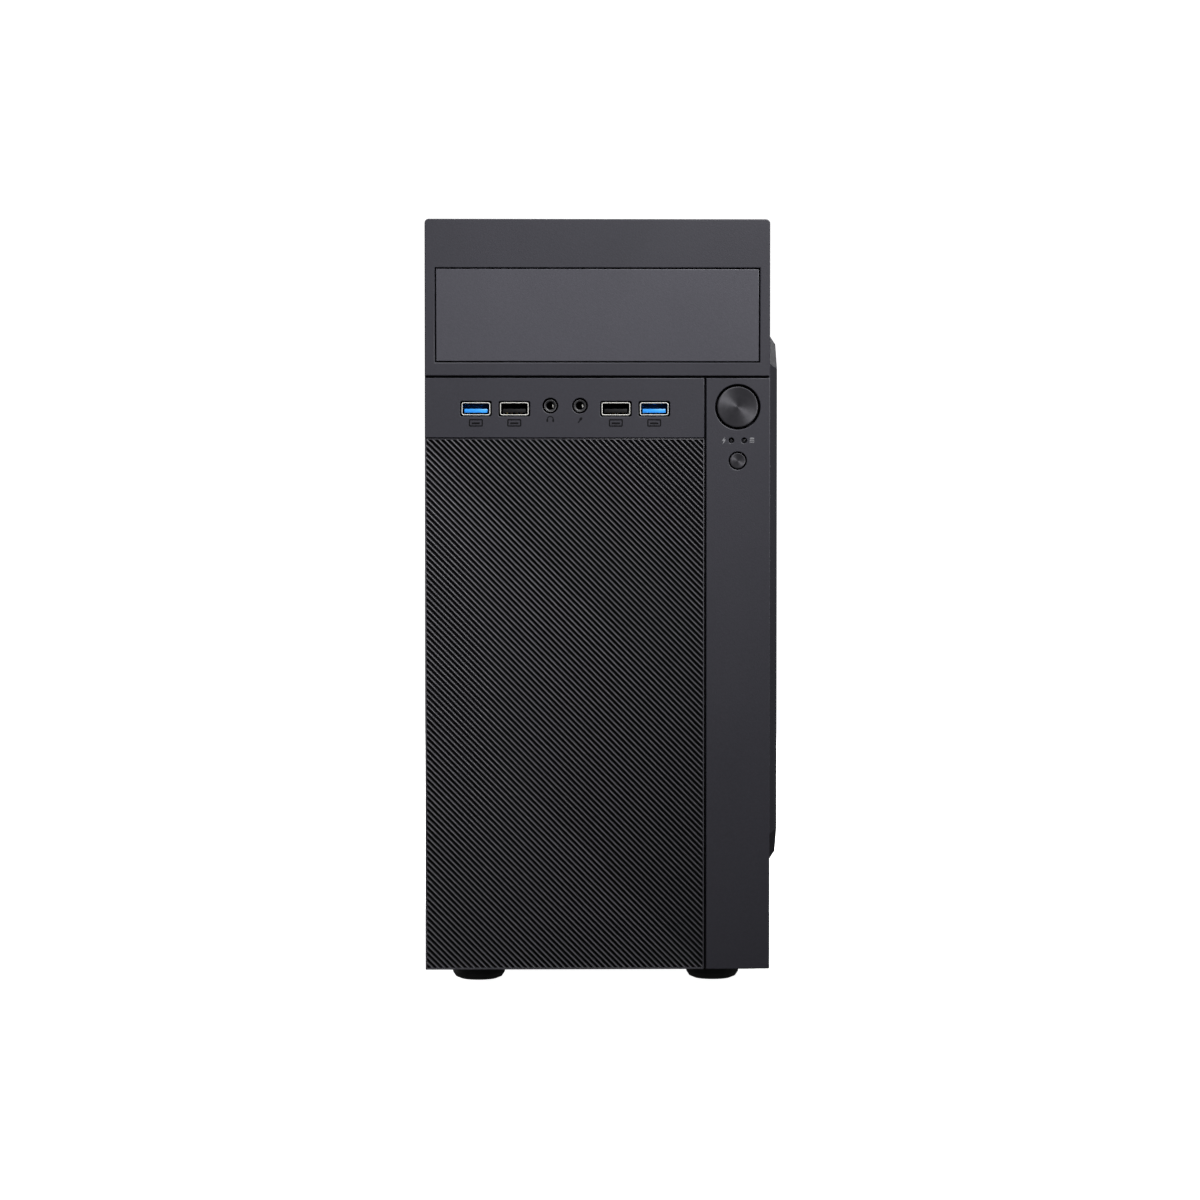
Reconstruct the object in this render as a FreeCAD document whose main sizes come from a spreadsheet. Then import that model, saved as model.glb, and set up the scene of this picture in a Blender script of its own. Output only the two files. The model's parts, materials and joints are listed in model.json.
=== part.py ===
"""A small desktop computer tower, as an assembly of separate parts.

Frame: +Z is up, the front faces -Y, and +X is to the right of someone who faces the front. The origin is
the middle of the bounding box, on the floor. Lengths are in millimetres. The driving dimensions are cells
of the Sizes sheet, and the objects of the document are bound to them by expressions.
"""

import FreeCAD, Part

import math
import os
from types import SimpleNamespace

import Sketcher
from FreeCAD import Placement, Rotation, Vector

SIZES = {
    # the whole tower
    "body_width": 158.5,
    "body_height": 345,
    "overall_depth": 345,
    "foot_height": 9,
    "bulge_height": 7,
    "sheet": 0.8,
    # front mouldings
    "bezel_depth": 35,
    "skin": 3,
    "moulding_wall": 2.2,
    "corner_radius": 2,
    "edge_radius": 0.8,
    "small_radius": 0.3,
    "groove": 1,
    "fascia_height": 72.3,
    "io_drop": 100.1,
    "control_width": 29.8,
    "bay_width": 148,
    "bay_height": 42.2,
    "bay_drop": 22.9,
    "bay_gap": 0.6,
    "bay_bevel": 0.7,
    "bay_cover_sink": 0.3,
    "bay_ledge": 0.4,
    "bay_ledge_start": 3.6,
    "clip_length": 10,
    "clip_height": 12,
    "clip_wall": 1.6,
    "clip_inset": 0.8,
    # ribbed panel
    "rib_pitch": 1.957,
    "rib_height": 1.1,
    "rib_crest": 0.36,
    "rib_valley": 0.3,
    "rib_sink": 0.25,
    # buttons and lights
    "power_drop": 86,
    "power_hole": 10.4,
    "power_cap": 9.3,
    "power_stem": 2.5,
    "reset_drop": 110.7,
    "reset_hole": 4.15,
    "reset_cap": 3.55,
    "reset_stem": 1.5,
    "cap_thickness": 2.8,
    "cap_sink": 0.2,
    "cap_edge": 0.5,
    "guide_start": 9,
    "guide_wall": 2,
    "guide_fit": 0.08,
    "cup_wall": 1.6,
    "cup_fit": 0.2,
    "post_spacing": 16,
    "post_radius": 2,
    "collar": 0.9,
    "collar_gap": 0.3,
    "stem_end": 17.8,
    "switch_face": 20.5,
    "switch_board_face": 24,
    "board_thickness": 1.6,
    "light_drop": 101.4,
    "light_spacing": 5.9,
    "light_hole": 1.25,
    "light_pipe": 1.15,
    # sockets on the front
    "port_drop": 86.9,
    "port_outer": 40.9,
    "port_inner": 23.3,
    "usb_width": 13.1,
    "usb_height": 5.9,
    "usb_depth": 14,
    "usb_wall": 0.4,
    "usb_corner": 0.7,
    "usb_cut_width": 14.5,
    "usb_cut_height": 7.1,
    "usb_sink": 0.5,
    "socket_board_width": 100,
    "socket_board_back": 26,
    "shelf_width": 5,
    "shelf_height": 3,
    "tongue_width": 10.6,
    "tongue_thickness": 1.8,
    "tongue_drop": 0.9,
    "tongue_sink": 1.6,
    "tongue_block": 4.5,
    "jack_drop": 85.5,
    "jack_offset": 6.8,
    "jack_hole": 3.6,
    "jack_ring": 2.75,
    "jack_bore": 1.78,
    "jack_depth": 14,
    # steel work
    "panel_gap": 0.35,
    "lip": 8,
    "ledge": 10,
    "ledge_step": 1.6,
    "rail_height": 14,
    "flange": 13,
    "screw_reach": 6.5,
    "screw_radius": 1.5,
    "screw_clearance": 1.85,
    "screw_inset": 7,
    "screw_high": 244,
    "screw_low": 25,
    "bulge_front": 45,
    "bulge_length": 245,
    "bulge_low": 38,
    "bulge_span": 262,
    "bulge_cut": 12,
    "bulge_slope": 10,
    "foot_radius": 12.5,
    "foot_inset": 41,
    "foot_spread": 55,
    "foot_rear": 290,
    # inside: board, tray, cooler and cards
    "tray_inset": 13,
    "standoff": 6.35,
    "board_height": 226,
    "board_depth": 185,
    "board_low": 22,
    "shield_width": 44.45,
    "shield_height": 158.75,
    "slot_pitch": 20.32,
    "slot_count": 4,
    "slot_opening": 100,
    "slot_slit": 12.06,
    "fan_side": 80,
    "fan_depth": 25,
    "rear_fan_height": 202,
    "cooler_height": 180,
    "cooler_back": 72,
    "cooler_radius": 40,
    "cooler_fins": 32,
    # power supply
    "psu_width": 150,
    "psu_height": 86,
    "psu_depth": 140,
    "psu_fan_side": 120,
    "inlet_width": 27.5,
    "inlet_height": 20,
    "rocker_width": 9,
    "rocker_height": 15,
    # disk
    "disk_width": 101.6,
    "disk_length": 147,
    "disk_height": 26.1,
    "disk_front": 46,
}

doc = FreeCAD.newDocument("tower")
sheet = doc.addObject("Spreadsheet::Sheet", "Sizes")
nodes = []


# --- sizes -----------------------------------------------------------------------------------------------


class Size:
    """A length as an expression over the sheet's cells, with the value that it has now."""

    def __init__(self, text, value):
        self.text = text
        self.value = float(value)

    def __add__(self, other):
        return Size(f"({self.text} + {size(other).text})", self.value + size(other).value)

    def __sub__(self, other):
        return Size(f"({self.text} - {size(other).text})", self.value - size(other).value)

    def __mul__(self, other):
        return Size(f"({self.text} * {size(other).text})", self.value * size(other).value)

    def __truediv__(self, other):
        return Size(f"({self.text} / {size(other).text})", self.value / size(other).value)

    def __neg__(self):
        return Size(f"(-1 * {self.text})", -self.value)

    def __radd__(self, other):
        return size(other) + self

    def __rsub__(self, other):
        return size(other) - self

    def __rmul__(self, other):
        return size(other) * self


def size(value):
    """A plain number as a Size; a Size stays as it is."""
    return value if isinstance(value, Size) else Size(f"({value:.4f})", value)


def fill_sheet():
    """Writes the driving dimensions into the sheet, and returns them as Sizes by name."""
    cells = SimpleNamespace()
    for row, (alias, value) in enumerate(SIZES.items(), start=1):
        sheet.set(f"A{row}", alias.replace("_", " "))
        sheet.set(f"B{row}", str(value))
        sheet.setAlias(f"B{row}", alias)
        setattr(cells, alias, Size(f"Sizes.{alias}", value))
    doc.recompute()
    return cells


def about(middle, width):
    """The span of a width centred on a place."""
    return (middle - size(width) / 2, middle + size(width) / 2)


def along(start, length):
    """The span that starts at a place and has a length."""
    return (size(start), start + size(length))


S = fill_sheet()

LEFT = -(S.body_width + S.bulge_height) / 2
RIGHT = LEFT + S.body_width
MIDDLE = LEFT + S.body_width / 2
FRONT = -S.overall_depth / 2
BOTTOM = S.foot_height
TOP = BOTTOM + S.body_height

SKIN_BACK = FRONT + S.skin
CARRIER_BACK = SKIN_BACK + S.moulding_wall
BEZEL_BACK = FRONT + S.bezel_depth
SPLIT = RIGHT - S.control_width
IO_MIDDLE = (LEFT + SPLIT) / 2
BUTTON_X = RIGHT - S.control_width / 2
FASCIA_LINE = TOP - S.fascia_height
IO_LINE = TOP - S.io_drop
BAY_X = about(MIDDLE, S.bay_width)
BAY_Z = (TOP - S.bay_drop - S.bay_height, TOP - S.bay_drop)
PORT_Z = TOP - S.port_drop
JACK_Z = TOP - S.jack_drop
LIGHT_Z = TOP - S.light_drop
POWER_Z = TOP - S.power_drop
RESET_Z = TOP - S.reset_drop
BUTTONS = ((POWER_Z, S.power_hole, S.power_stem), (RESET_Z, S.reset_hole, S.reset_stem))

FLANGE_BACK = S.overall_depth / 2 - S.screw_reach
WALL_BACK = FLANGE_BACK - S.sheet - S.panel_gap
WALL_FACE = WALL_BACK - S.sheet
INNER_LEFT = LEFT + S.sheet + S.panel_gap
INNER_RIGHT = RIGHT - S.sheet - S.panel_gap
LEDGE_FACE = S.ledge_step + S.sheet
TRAY_X = RIGHT - S.tray_inset
BOARD_BACK = TRAY_X - S.standoff
BOARD_FACE = BOARD_BACK - S.board_thickness
BOARD_LOW = BOTTOM + S.board_low
BOARD_REAR = WALL_FACE - 2
SHIELD_X = (BOARD_FACE + 2 - S.shield_width, BOARD_FACE + 2)
SHIELD_Z = (BOARD_LOW + S.board_height - S.shield_height, BOARD_LOW + S.board_height)
PSU_Z = (TOP - LEDGE_FACE - 1 - S.psu_height, TOP - LEDGE_FACE - 1)
PSU_X = about(MIDDLE, S.psu_width)
PSU_Y = (WALL_FACE - S.psu_depth, WALL_FACE)
REAR_FAN = (MIDDLE - 26, WALL_FACE - S.fan_depth / 2, BOTTOM + S.rear_fan_height)
COOLER = (BOARD_REAR - S.cooler_back, BOTTOM + S.cooler_height)
DISK_X = about(MIDDLE - 8, S.disk_width)
DISK_Y = along(FRONT + S.disk_front, S.disk_length)
DISK_Z = along(BOTTOM + 7, S.disk_height)


# --- plain solids and how they are joined ----------------------------------------------------------------


def node(item, label):
    """Names a finished sub-part and lists it for writing."""
    item.Label = label
    nodes.append(item)
    return item


def bind(item, **sizes):
    """Binds properties of an object to sizes."""
    for name, value in sizes.items():
        item.setExpression(name, size(value).text)


def move(item, x=0, y=0, z=0):
    """Puts an object's placement at a place made of sizes."""
    for axis, value in zip("xyz", (x, y, z)):
        item.setExpression(f"Placement.Base.{axis}", size(value).text)
    return item


def box(x, y, z):
    """A box between three spans."""
    item = doc.addObject("Part::Box", "Box")
    bind(item, Length=x[1] - x[0], Width=y[1] - y[0], Height=z[1] - z[0])
    return move(item, x[0], y[0], z[0])


TURNS = {
    "X": Rotation(Vector(0, 1, 0), 90),
    "Y": Rotation(Vector(1, 0, 0), -90),
    "Z": Rotation(),
}


def rod(axis, start, length, radius):
    """A cylinder that starts at a point and runs along an axis."""
    item = doc.addObject("Part::Cylinder", "Rod")
    item.Placement.Rotation = TURNS[axis]
    bind(item, Radius=radius, Height=length)
    return move(item, *start)


def fuse(*shapes):
    """One solid of several that touch."""
    item = doc.addObject("Part::MultiFuse", "Fusion")
    item.Shapes = list(shapes)
    item.Refine = True
    return item


def group(*shapes):
    """Several separate solids in one object."""
    item = doc.addObject("Part::Compound", "Group")
    item.Links = list(shapes)
    return item


def cut(base, *tools):
    """A solid less some others."""
    item = doc.addObject("Part::Cut", "Cut")
    item.Base = base
    item.Tool = tools[0] if len(tools) == 1 else group(*tools)
    return item


def common(base, tool):
    """What two solids share."""
    item = doc.addObject("Part::Common", "Common")
    item.Base = base
    item.Tool = tool
    return item


def wall_box(x, y, z, wall, openings):
    """A hollow box, open where a wall's name (such as +Z) is given."""
    inner = []
    for name, (low, high) in zip("XYZ", (x, y, z)):
        low = low - 1 if "-" + name in openings else low + wall
        high = high + 1 if "+" + name in openings else high - wall
        inner.append((low, high))
    return cut(box(x, y, z), box(*inner))


def grille(axis, centre, depth, radius, rings, bar):
    """Concentric slots to cut from a sheet, crossed by two bars that are left standing."""
    x, y, z = centre
    step = radius / (rings + 0.5)
    slots = []
    for index in range(rings):
        outer = rod(axis, centre, depth, radius - step * index)
        inner = rod(axis, centre, depth, radius - step * index - step * 0.68)
        slots.append(cut(outer, inner))
    wide = radius * 2 + 2
    if axis == "Y":
        bars = (
            box(about(x, wide), along(y, depth), about(z, bar)),
            box(about(x, bar), along(y, depth), about(z, wide)),
        )
    else:
        bars = (
            box(about(x, wide), about(y, bar), along(z, depth)),
            box(about(x, bar), about(y, wide), along(z, depth)),
        )
    return cut(group(*slots), fuse(*bars))


# --- sketched bodies -------------------------------------------------------------------------------------


def pin(sketch, shape, vertex, point):
    """Fixes one vertex of a sketched shape at a place made of sizes."""
    for kind, place in zip(("DistanceX", "DistanceY"), point):
        place = size(place)
        index = sketch.addConstraint(Sketcher.Constraint(kind, -1, 1, shape, vertex, place.value))
        sketch.setExpression(f"Constraints[{index}]", place.text)


def flat(point):
    """A sketch point's present place."""
    return Vector(size(point[0]).value, size(point[1]).value, 0)


def polygon(*points):
    """A closed outline of straight lines."""

    def draw(sketch):
        count = len(points)
        lines = []
        for index, point in enumerate(points):
            line = Part.LineSegment(flat(point), flat(points[(index + 1) % count]))
            lines.append(sketch.addGeometry(line, False))
        for index, line in enumerate(lines):
            following = lines[(index + 1) % count]
            sketch.addConstraint(Sketcher.Constraint("Coincident", line, 2, following, 1))
            pin(sketch, line, 1, points[index])

    return draw


def rectangle(x, y):
    """A rectangular outline between two spans."""
    return polygon((x[0], y[0]), (x[1], y[0]), (x[1], y[1]), (x[0], y[1]))


def circle(x, y, radius):
    """A circular outline."""

    def draw(sketch):
        shape = sketch.addGeometry(Part.Circle(flat((x, y)), Vector(0, 0, 1), size(radius).value), False)
        pin(sketch, shape, 3, (x, y))
        index = sketch.addConstraint(Sketcher.Constraint("Radius", shape, size(radius).value))
        sketch.setExpression(f"Constraints[{index}]", size(radius).text)

    return draw


def rounded(x, y, radius):
    """A rectangular outline with round corners, between two spans."""
    corners = (
        ((x[1] - radius, y[0]), (x[1], y[0] + radius), (x[1] - radius, y[0] + radius), -90),
        ((x[1], y[1] - radius), (x[1] - radius, y[1]), (x[1] - radius, y[1] - radius), 0),
        ((x[0] + radius, y[1]), (x[0], y[1] - radius), (x[0] + radius, y[1] - radius), 90),
        ((x[0], y[0] + radius), (x[0] + radius, y[0]), (x[0] + radius, y[0] + radius), 180),
    )

    def draw(sketch):
        lines = []
        for index, (enter, leave, centre, angle) in enumerate(corners):
            line = Part.LineSegment(flat(corners[index - 1][1]), flat(enter))
            lines.append(sketch.addGeometry(line, False))
            pin(sketch, lines[-1], 1, corners[index - 1][1])
            pin(sketch, lines[-1], 2, enter)
        for index, (enter, leave, centre, angle) in enumerate(corners):
            full = Part.Circle(flat(centre), Vector(0, 0, 1), radius.value)
            arc = Part.ArcOfCircle(full, math.radians(angle), math.radians(angle + 90))
            shape = sketch.addGeometry(arc, False)
            following = lines[(index + 1) % len(corners)]
            sketch.addConstraint(Sketcher.Constraint("Coincident", shape, 1, lines[index], 2))
            sketch.addConstraint(Sketcher.Constraint("Coincident", shape, 2, following, 1))
            limit = sketch.addConstraint(Sketcher.Constraint("Radius", shape, radius.value))
            sketch.setExpression(f"Constraints[{limit}]", radius.text)

    return draw


class Piece:
    """A PartDesign body that is built up from sketches on its own origin planes."""

    def __init__(self, label):
        self.body = doc.addObject("PartDesign::Body", label)
        self.label = label

    def sketch(self, plane, offset, profiles):
        """Draws profiles on an origin plane that is moved by offset in its own axes."""
        sketch = self.body.newObject("Sketcher::SketchObject", f"{self.label}_sketch")
        support = next(item for item in self.body.Origin.OriginFeatures if item.Role == f"{plane}_Plane")
        sketch.AttachmentSupport = [(support, "")]
        sketch.MapMode = "FlatFace"
        for axis, value in zip("xyz", offset):
            sketch.setExpression(f"AttachmentOffset.Base.{axis}", size(value).text)
        for profile in profiles:
            profile(sketch)
        return sketch

    def add(self, kind, **links):
        """Adds a feature to the body."""
        feature = self.body.newObject(f"PartDesign::{kind}", f"{self.label}_{kind}")
        for name, value in links.items():
            setattr(feature, name, value)
        return feature

    def pad(self, plane, span, *profiles):
        """Adds material between the two places of a span, across a plane. XZ looks along -Y."""
        level = -span[1] if plane == "XZ" else span[0]
        bind(self.add("Pad", Profile=self.sketch(plane, (0, 0, level), profiles)), Length=span[1] - span[0])
        return self

    def pocket(self, plane, span, *profiles):
        """Takes material away between the two places of a span, across a plane."""
        level = -span[0] if plane == "XZ" else span[1]
        profile = self.sketch(plane, (0, 0, level), profiles)
        bind(self.add("Pocket", Profile=profile), Length=span[1] - span[0])
        return self

    def repeat(self, step, count):
        """Repeats the last feature in even steps along its sketch's upright axis."""
        last = self.body.Tip
        pattern = self.add("LinearPattern", Originals=[last], Direction=(last.Profile[0], ["V_Axis"]))
        bind(pattern, Length=step * (count - 1))
        pattern.Occurrences = count
        self.body.Tip = pattern
        return self

    def loft(self, kind, plane, *sections):
        """Adds (AdditiveLoft) or cuts (SubtractiveLoft) a solid through outlines at given levels."""
        sketches = [self.sketch(plane, (0, 0, level), (outline,)) for level, outline in sections]
        self.add(kind, Profile=sketches[0], Sections=sketches[1:], Ruled=True)
        return self

    def dress(self, kind, radius, chosen, **names):
        """Rounds (Fillet) or bevels (Chamfer) the edges that a test chooses."""
        doc.recompute()
        base = self.body.Tip
        edges = [f"Edge{index}" for index, edge in enumerate(base.Shape.Edges, start=1) if chosen(edge)]
        feature = self.add(kind, Base=(base, edges))
        bind(feature, **{"Radius" if kind == "Fillet" else "Size": radius})
        return self

    def finish(self):
        """Lists the body as a sub-part under its own name."""
        return node(self.body, self.label)


def turned(label, axis, centre, outline):
    """A body turned about an axis through a point. The outline is made of (radius, along) points."""
    x, y, z = centre
    piece = Piece(label)
    if axis == "Y":
        profile = piece.sketch("XY", (x, y, z), (polygon(*outline),))
    elif axis == "Z":
        profile = piece.sketch("XZ", (x, z, -size(y)), (polygon(*outline),))
    piece.add("Revolution", Profile=profile, ReferenceAxis=(profile, ["V_Axis"]))
    return piece


def near(value, place):
    """Whether a coordinate is at a place."""
    return abs(value - size(place).value) < 0.01


def runs_along(axis, **places):
    """A test for straight edges along an axis, at given places on the other axes."""

    def chosen(edge):
        if edge.Curve.TypeId != "Part::GeomLine":
            return False
        step = edge.Vertexes[-1].Point - edge.Vertexes[0].Point
        if abs(getattr(step, axis)) < 0.99 * step.Length:
            return False
        middle = edge.CenterOfMass
        found = [any(near(getattr(middle, name), spot) for spot in spots) for name, spots in places.items()]
        return all(found)

    return chosen


def lies_on(axis, place, keep=lambda middle: True):
    """A test for edges that lie in a plane across an axis."""

    def chosen(edge):
        bounds = edge.BoundBox
        low = getattr(bounds, f"{axis.upper()}Min")
        high = getattr(bounds, f"{axis.upper()}Max")
        return near(low, place) and near(high, place) and keep(edge.CenterOfMass)

    return chosen


# --- front mouldings -------------------------------------------------------------------------------------


def port_places():
    """The middles of the four USB sockets, from left to right."""
    offsets = (-S.port_outer, -S.port_inner, S.port_inner, S.port_outer)
    return [IO_MIDDLE + offset for offset in offsets]


def jack_places():
    """The middles of the two audio sockets."""
    return [IO_MIDDLE - S.jack_offset, IO_MIDDLE + S.jack_offset]


def light_places():
    """The middles of the two indicator lights."""
    return [BUTTON_X - S.light_spacing / 2, BUTTON_X + S.light_spacing / 2]


def bay_window(gap):
    """The outline of the drive bay's opening, a gap wider than its cover all round."""
    return rectangle((BAY_X[0] - gap, BAY_X[1] + gap), (BAY_Z[0] - gap, BAY_Z[1] + gap))


def make_front_bezel():
    """The carrier behind the front skins: side walls, front wall, button cups and board posts."""
    piece = Piece("front_bezel")
    depth = (SKIN_BACK, BEZEL_BACK)
    piece.pad("XZ", depth, rectangle((LEFT, RIGHT), (BOTTOM, TOP)))
    piece.dress("Fillet", S.corner_radius, runs_along("y", x=(LEFT, RIGHT)))
    hollow_x = (LEFT + S.moulding_wall, RIGHT - S.moulding_wall)
    hollow_z = (BOTTOM + S.moulding_wall, TOP - S.moulding_wall)
    piece.pocket("XZ", (CARRIER_BACK, BEZEL_BACK), rectangle(hollow_x, hollow_z))
    cup_back = FRONT + S.guide_start + S.guide_wall
    cups = [circle(BUTTON_X, z, hole + S.cup_wall) for z, hole, stem in BUTTONS]
    piece.pad("XZ", (CARRIER_BACK, cup_back), *cups)
    post_x = about(BUTTON_X, S.post_spacing)
    post_z = (POWER_Z + 10.5, RESET_Z - 6)
    posts = [circle(x, z, S.post_radius) for x in post_x for z in post_z]
    piece.pad("XZ", (CARRIER_BACK, FRONT + S.switch_board_face), *posts)
    board_low = PORT_Z - S.usb_height / 2 - S.board_thickness
    shelf_x = about(IO_MIDDLE, S.socket_board_width - 6)
    shelves = [rectangle(about(x, S.shelf_width), (board_low - S.shelf_height, board_low)) for x in shelf_x]
    piece.pad("XZ", (CARRIER_BACK, FRONT + S.socket_board_back), *shelves)
    cups = [circle(BUTTON_X, z, hole + S.cup_fit) for z, hole, stem in BUTTONS]
    piece.pocket("XZ", (SKIN_BACK, FRONT + S.guide_start), *cups)
    guides = [circle(BUTTON_X, z, stem + S.guide_fit) for z, hole, stem in BUTTONS]
    piece.pocket("XZ", (SKIN_BACK, cup_back), *guides)
    margin = S.usb_cut_height - S.usb_height
    io_x = about(IO_MIDDLE, 2 * S.port_outer + 16)
    io_window = rectangle(io_x, about(PORT_Z, S.usb_cut_height + 2 * margin))
    lights = [circle(x, LIGHT_Z, S.light_hole) for x in light_places()]
    ledge = FRONT + S.bay_ledge_start
    piece.pocket("XZ", (SKIN_BACK, ledge), bay_window(S.bay_gap))
    piece.pocket("XZ", (ledge, CARRIER_BACK), bay_window(-S.bay_ledge))
    piece.pocket("XZ", (SKIN_BACK, CARRIER_BACK), io_window, *lights)
    return piece.finish()


def make_top_fascia():
    """The skin above the groove, with the drive bay's bevelled window."""
    piece = Piece("top_fascia")
    low = FASCIA_LINE + S.groove / 2
    piece.pad("XZ", (FRONT, SKIN_BACK), rectangle((LEFT, RIGHT), (low, TOP)))
    piece.dress("Fillet", S.corner_radius, runs_along("y", x=(LEFT, RIGHT), z=(TOP,)))
    piece.dress("Fillet", S.edge_radius, lies_on("y", FRONT))
    piece.pocket("XZ", (FRONT, SKIN_BACK), bay_window(S.bay_gap))
    inside = lambda middle: abs(middle.x - MIDDLE.value) < S.bay_width.value / 2 + 1
    below = lambda middle: inside(middle) and BAY_Z[0].value - 1 < middle.z < BAY_Z[1].value + 1
    piece.dress("Chamfer", S.bay_bevel, lies_on("y", FRONT, below))
    return piece.finish()


def make_io_panel():
    """The skin round the front sockets."""
    piece = Piece("io_panel")
    right = SPLIT - S.groove / 2
    high = FASCIA_LINE - S.groove / 2
    piece.pad("XZ", (FRONT, SKIN_BACK), rectangle((LEFT, right), (IO_LINE, high)))
    piece.dress("Fillet", S.edge_radius, runs_along("z", x=(LEFT,), y=(FRONT,)))
    edge = lambda middle: middle.x > LEFT.value + 2
    piece.dress("Fillet", S.small_radius, lies_on("y", FRONT, edge))
    cut_z = about(PORT_Z, S.usb_cut_height)
    cuts = [rounded(about(x, S.usb_cut_width), cut_z, S.usb_corner) for x in port_places()]
    holes = [circle(x, JACK_Z, S.jack_hole) for x in jack_places()]
    piece.pocket("XZ", (FRONT, SKIN_BACK), *cuts, *holes)
    return piece.finish()


def rib_outline():
    """The ribbed panel's section across the ribs: (across, depth) points, symmetric about the middle."""
    width = S.body_width.value - S.control_width.value
    height = S.body_height.value - S.io_drop.value
    pitch = S.rib_pitch.value
    crest = S.rib_crest.value / 2
    foot = (pitch - S.rib_valley.value) / 2
    high = FRONT.value + S.rib_sink.value
    low = high + S.rib_height.value
    count = math.ceil((width + height) / math.sqrt(2) / pitch / 2) + 1
    points = []
    for index in range(-count, count + 1):
        middle = index * pitch
        points += [(middle - foot, low), (middle - crest, high)]
        points += [(middle + crest, high), (middle + foot, low)]
    return points


def make_rib_panel():
    """The large skin covered with fine ribs that fall at 45 degrees from left to right."""
    slope = Vector(1, 0, -1).normalize()
    across = Vector(1, 0, 1).normalize()
    x = (LEFT, SPLIT - S.groove / 2)
    z = (BOTTOM, IO_LINE - S.groove / 2)
    middle = Vector((x[0] + x[1]).value / 2, 0, (z[0] + z[1]).value / 2)
    reach = S.body_height.value
    outline = rib_outline()
    outline = [(outline[0][0], SKIN_BACK.value)] + outline + [(outline[-1][0], SKIN_BACK.value)]
    section = doc.addObject("Part::Polygon", "RibSection")
    section.Nodes = [middle + across * u + Vector(0, y, 0) - slope * reach for u, y in outline]
    section.Close = True
    ribs = doc.addObject("Part::Extrusion", "Ribs")
    ribs.Base = section
    ribs.DirMode = "Custom"
    ribs.Dir = slope
    ribs.Solid = True
    bind(ribs, LengthFwd=S.body_height * 2)
    return node(common(ribs, box(x, (FRONT, SKIN_BACK), z)), "rib_panel")


def make_control_strip():
    """The skin down the right-hand side, with holes for two buttons and two lights."""
    piece = Piece("control_strip")
    left = SPLIT + S.groove / 2
    high = FASCIA_LINE - S.groove / 2
    piece.pad("XZ", (FRONT, SKIN_BACK), rectangle((left, RIGHT), (BOTTOM, high)))
    piece.dress("Fillet", S.corner_radius, runs_along("y", x=(RIGHT,), z=(BOTTOM,)))
    outer = lambda middle: middle.x > RIGHT.value - 3 or middle.z < BOTTOM.value + 1
    piece.dress("Fillet", S.edge_radius, lies_on("y", FRONT, outer))
    holes = [circle(BUTTON_X, POWER_Z, S.power_hole), circle(BUTTON_X, RESET_Z, S.reset_hole)]
    lights = [circle(x, LIGHT_Z, S.light_hole) for x in light_places()]
    piece.pocket("XZ", (FRONT, SKIN_BACK), *holes, *lights)
    return piece.finish()


def make_bay_cover():
    """The blank plate over the drive bay, with a spring arm behind each end."""
    piece = Piece("bay_cover")
    face = FRONT + S.bay_cover_sink
    back = face + S.skin
    piece.pad("XZ", (face, back), rectangle(BAY_X, BAY_Z))
    piece.dress("Fillet", S.small_radius, lies_on("y", face))
    middle = (BAY_Z[0] + BAY_Z[1]) / 2
    arm_x = (BAY_X[0] + S.clip_inset, BAY_X[1] - S.clip_inset)
    arms = [
        rectangle(along(arm_x[0], S.clip_wall), about(middle, S.clip_height)),
        rectangle((arm_x[1] - S.clip_wall, arm_x[1]), about(middle, S.clip_height)),
    ]
    piece.pad("XZ", (back, back + S.clip_length), *arms)
    return piece.finish()


def make_button(label, z, cap, stem):
    """A round push button: cap, stem and the collar that keeps it in its guide."""
    start = S.cap_sink
    seat = S.guide_start + S.guide_wall + S.collar_gap
    outline = (
        (0, start),
        (cap - S.cap_edge, start),
        (cap, start + S.cap_edge),
        (cap, start + S.cap_thickness),
        (stem, start + S.cap_thickness),
        (stem, seat),
        (stem + S.collar, seat),
        (stem + S.collar, seat + 1),
        (stem, seat + 1),
        (stem, S.stem_end),
        (0, S.stem_end),
    )
    return turned(label, "Y", (BUTTON_X, FRONT, z), outline).finish()


def make_light_pipes():
    """Two clear rods that carry the lights from the switch board to the front."""
    pipes = []
    for x in light_places():
        pipe = rod("Y", (x, FRONT + 0.1, LIGHT_Z), 22.9, S.light_pipe)
        collar = rod("Y", (x, CARRIER_BACK, LIGHT_Z), 1.5, S.light_pipe + 0.8)
        pipes.append(fuse(pipe, collar))
    return node(group(*pipes), "light_pipes")


def make_switch_board():
    """The small circuit board behind the buttons, with two push switches and two lamps."""
    face = FRONT + S.switch_board_face
    board = box(about(BUTTON_X, 21), along(face, S.board_thickness), (RESET_Z - 9, POWER_Z + 13))
    parts = [board]
    for z in (POWER_Z, RESET_Z):
        parts.append(box(about(BUTTON_X, 6), (FRONT + S.switch_face, face), about(z, 6)))
        parts.append(rod("Y", (BUTTON_X, FRONT + S.switch_face - 1, z), 1, 1.7))
    for x in light_places():
        parts.append(box(about(x, 3), along(FRONT + 23, 1), about(LIGHT_Z, 3)))
    parts.append(box(about(BUTTON_X, 10), along(face + S.board_thickness, 6), about(LIGHT_Z, 8)))
    return node(fuse(*parts), "switch_board")


def make_front_io_board():
    """The circuit board under the front sockets, with its plug header."""
    high = PORT_Z - S.usb_height / 2
    board_y = (FRONT + 6, FRONT + S.socket_board_back)
    board = box(about(IO_MIDDLE, S.socket_board_width), board_y, (high - S.board_thickness, high))
    header = box(along(IO_MIDDLE + 30, 10), (FRONT + 19, FRONT + 25), along(high, 8))
    return node(fuse(board, header), "front_io_board")


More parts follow.
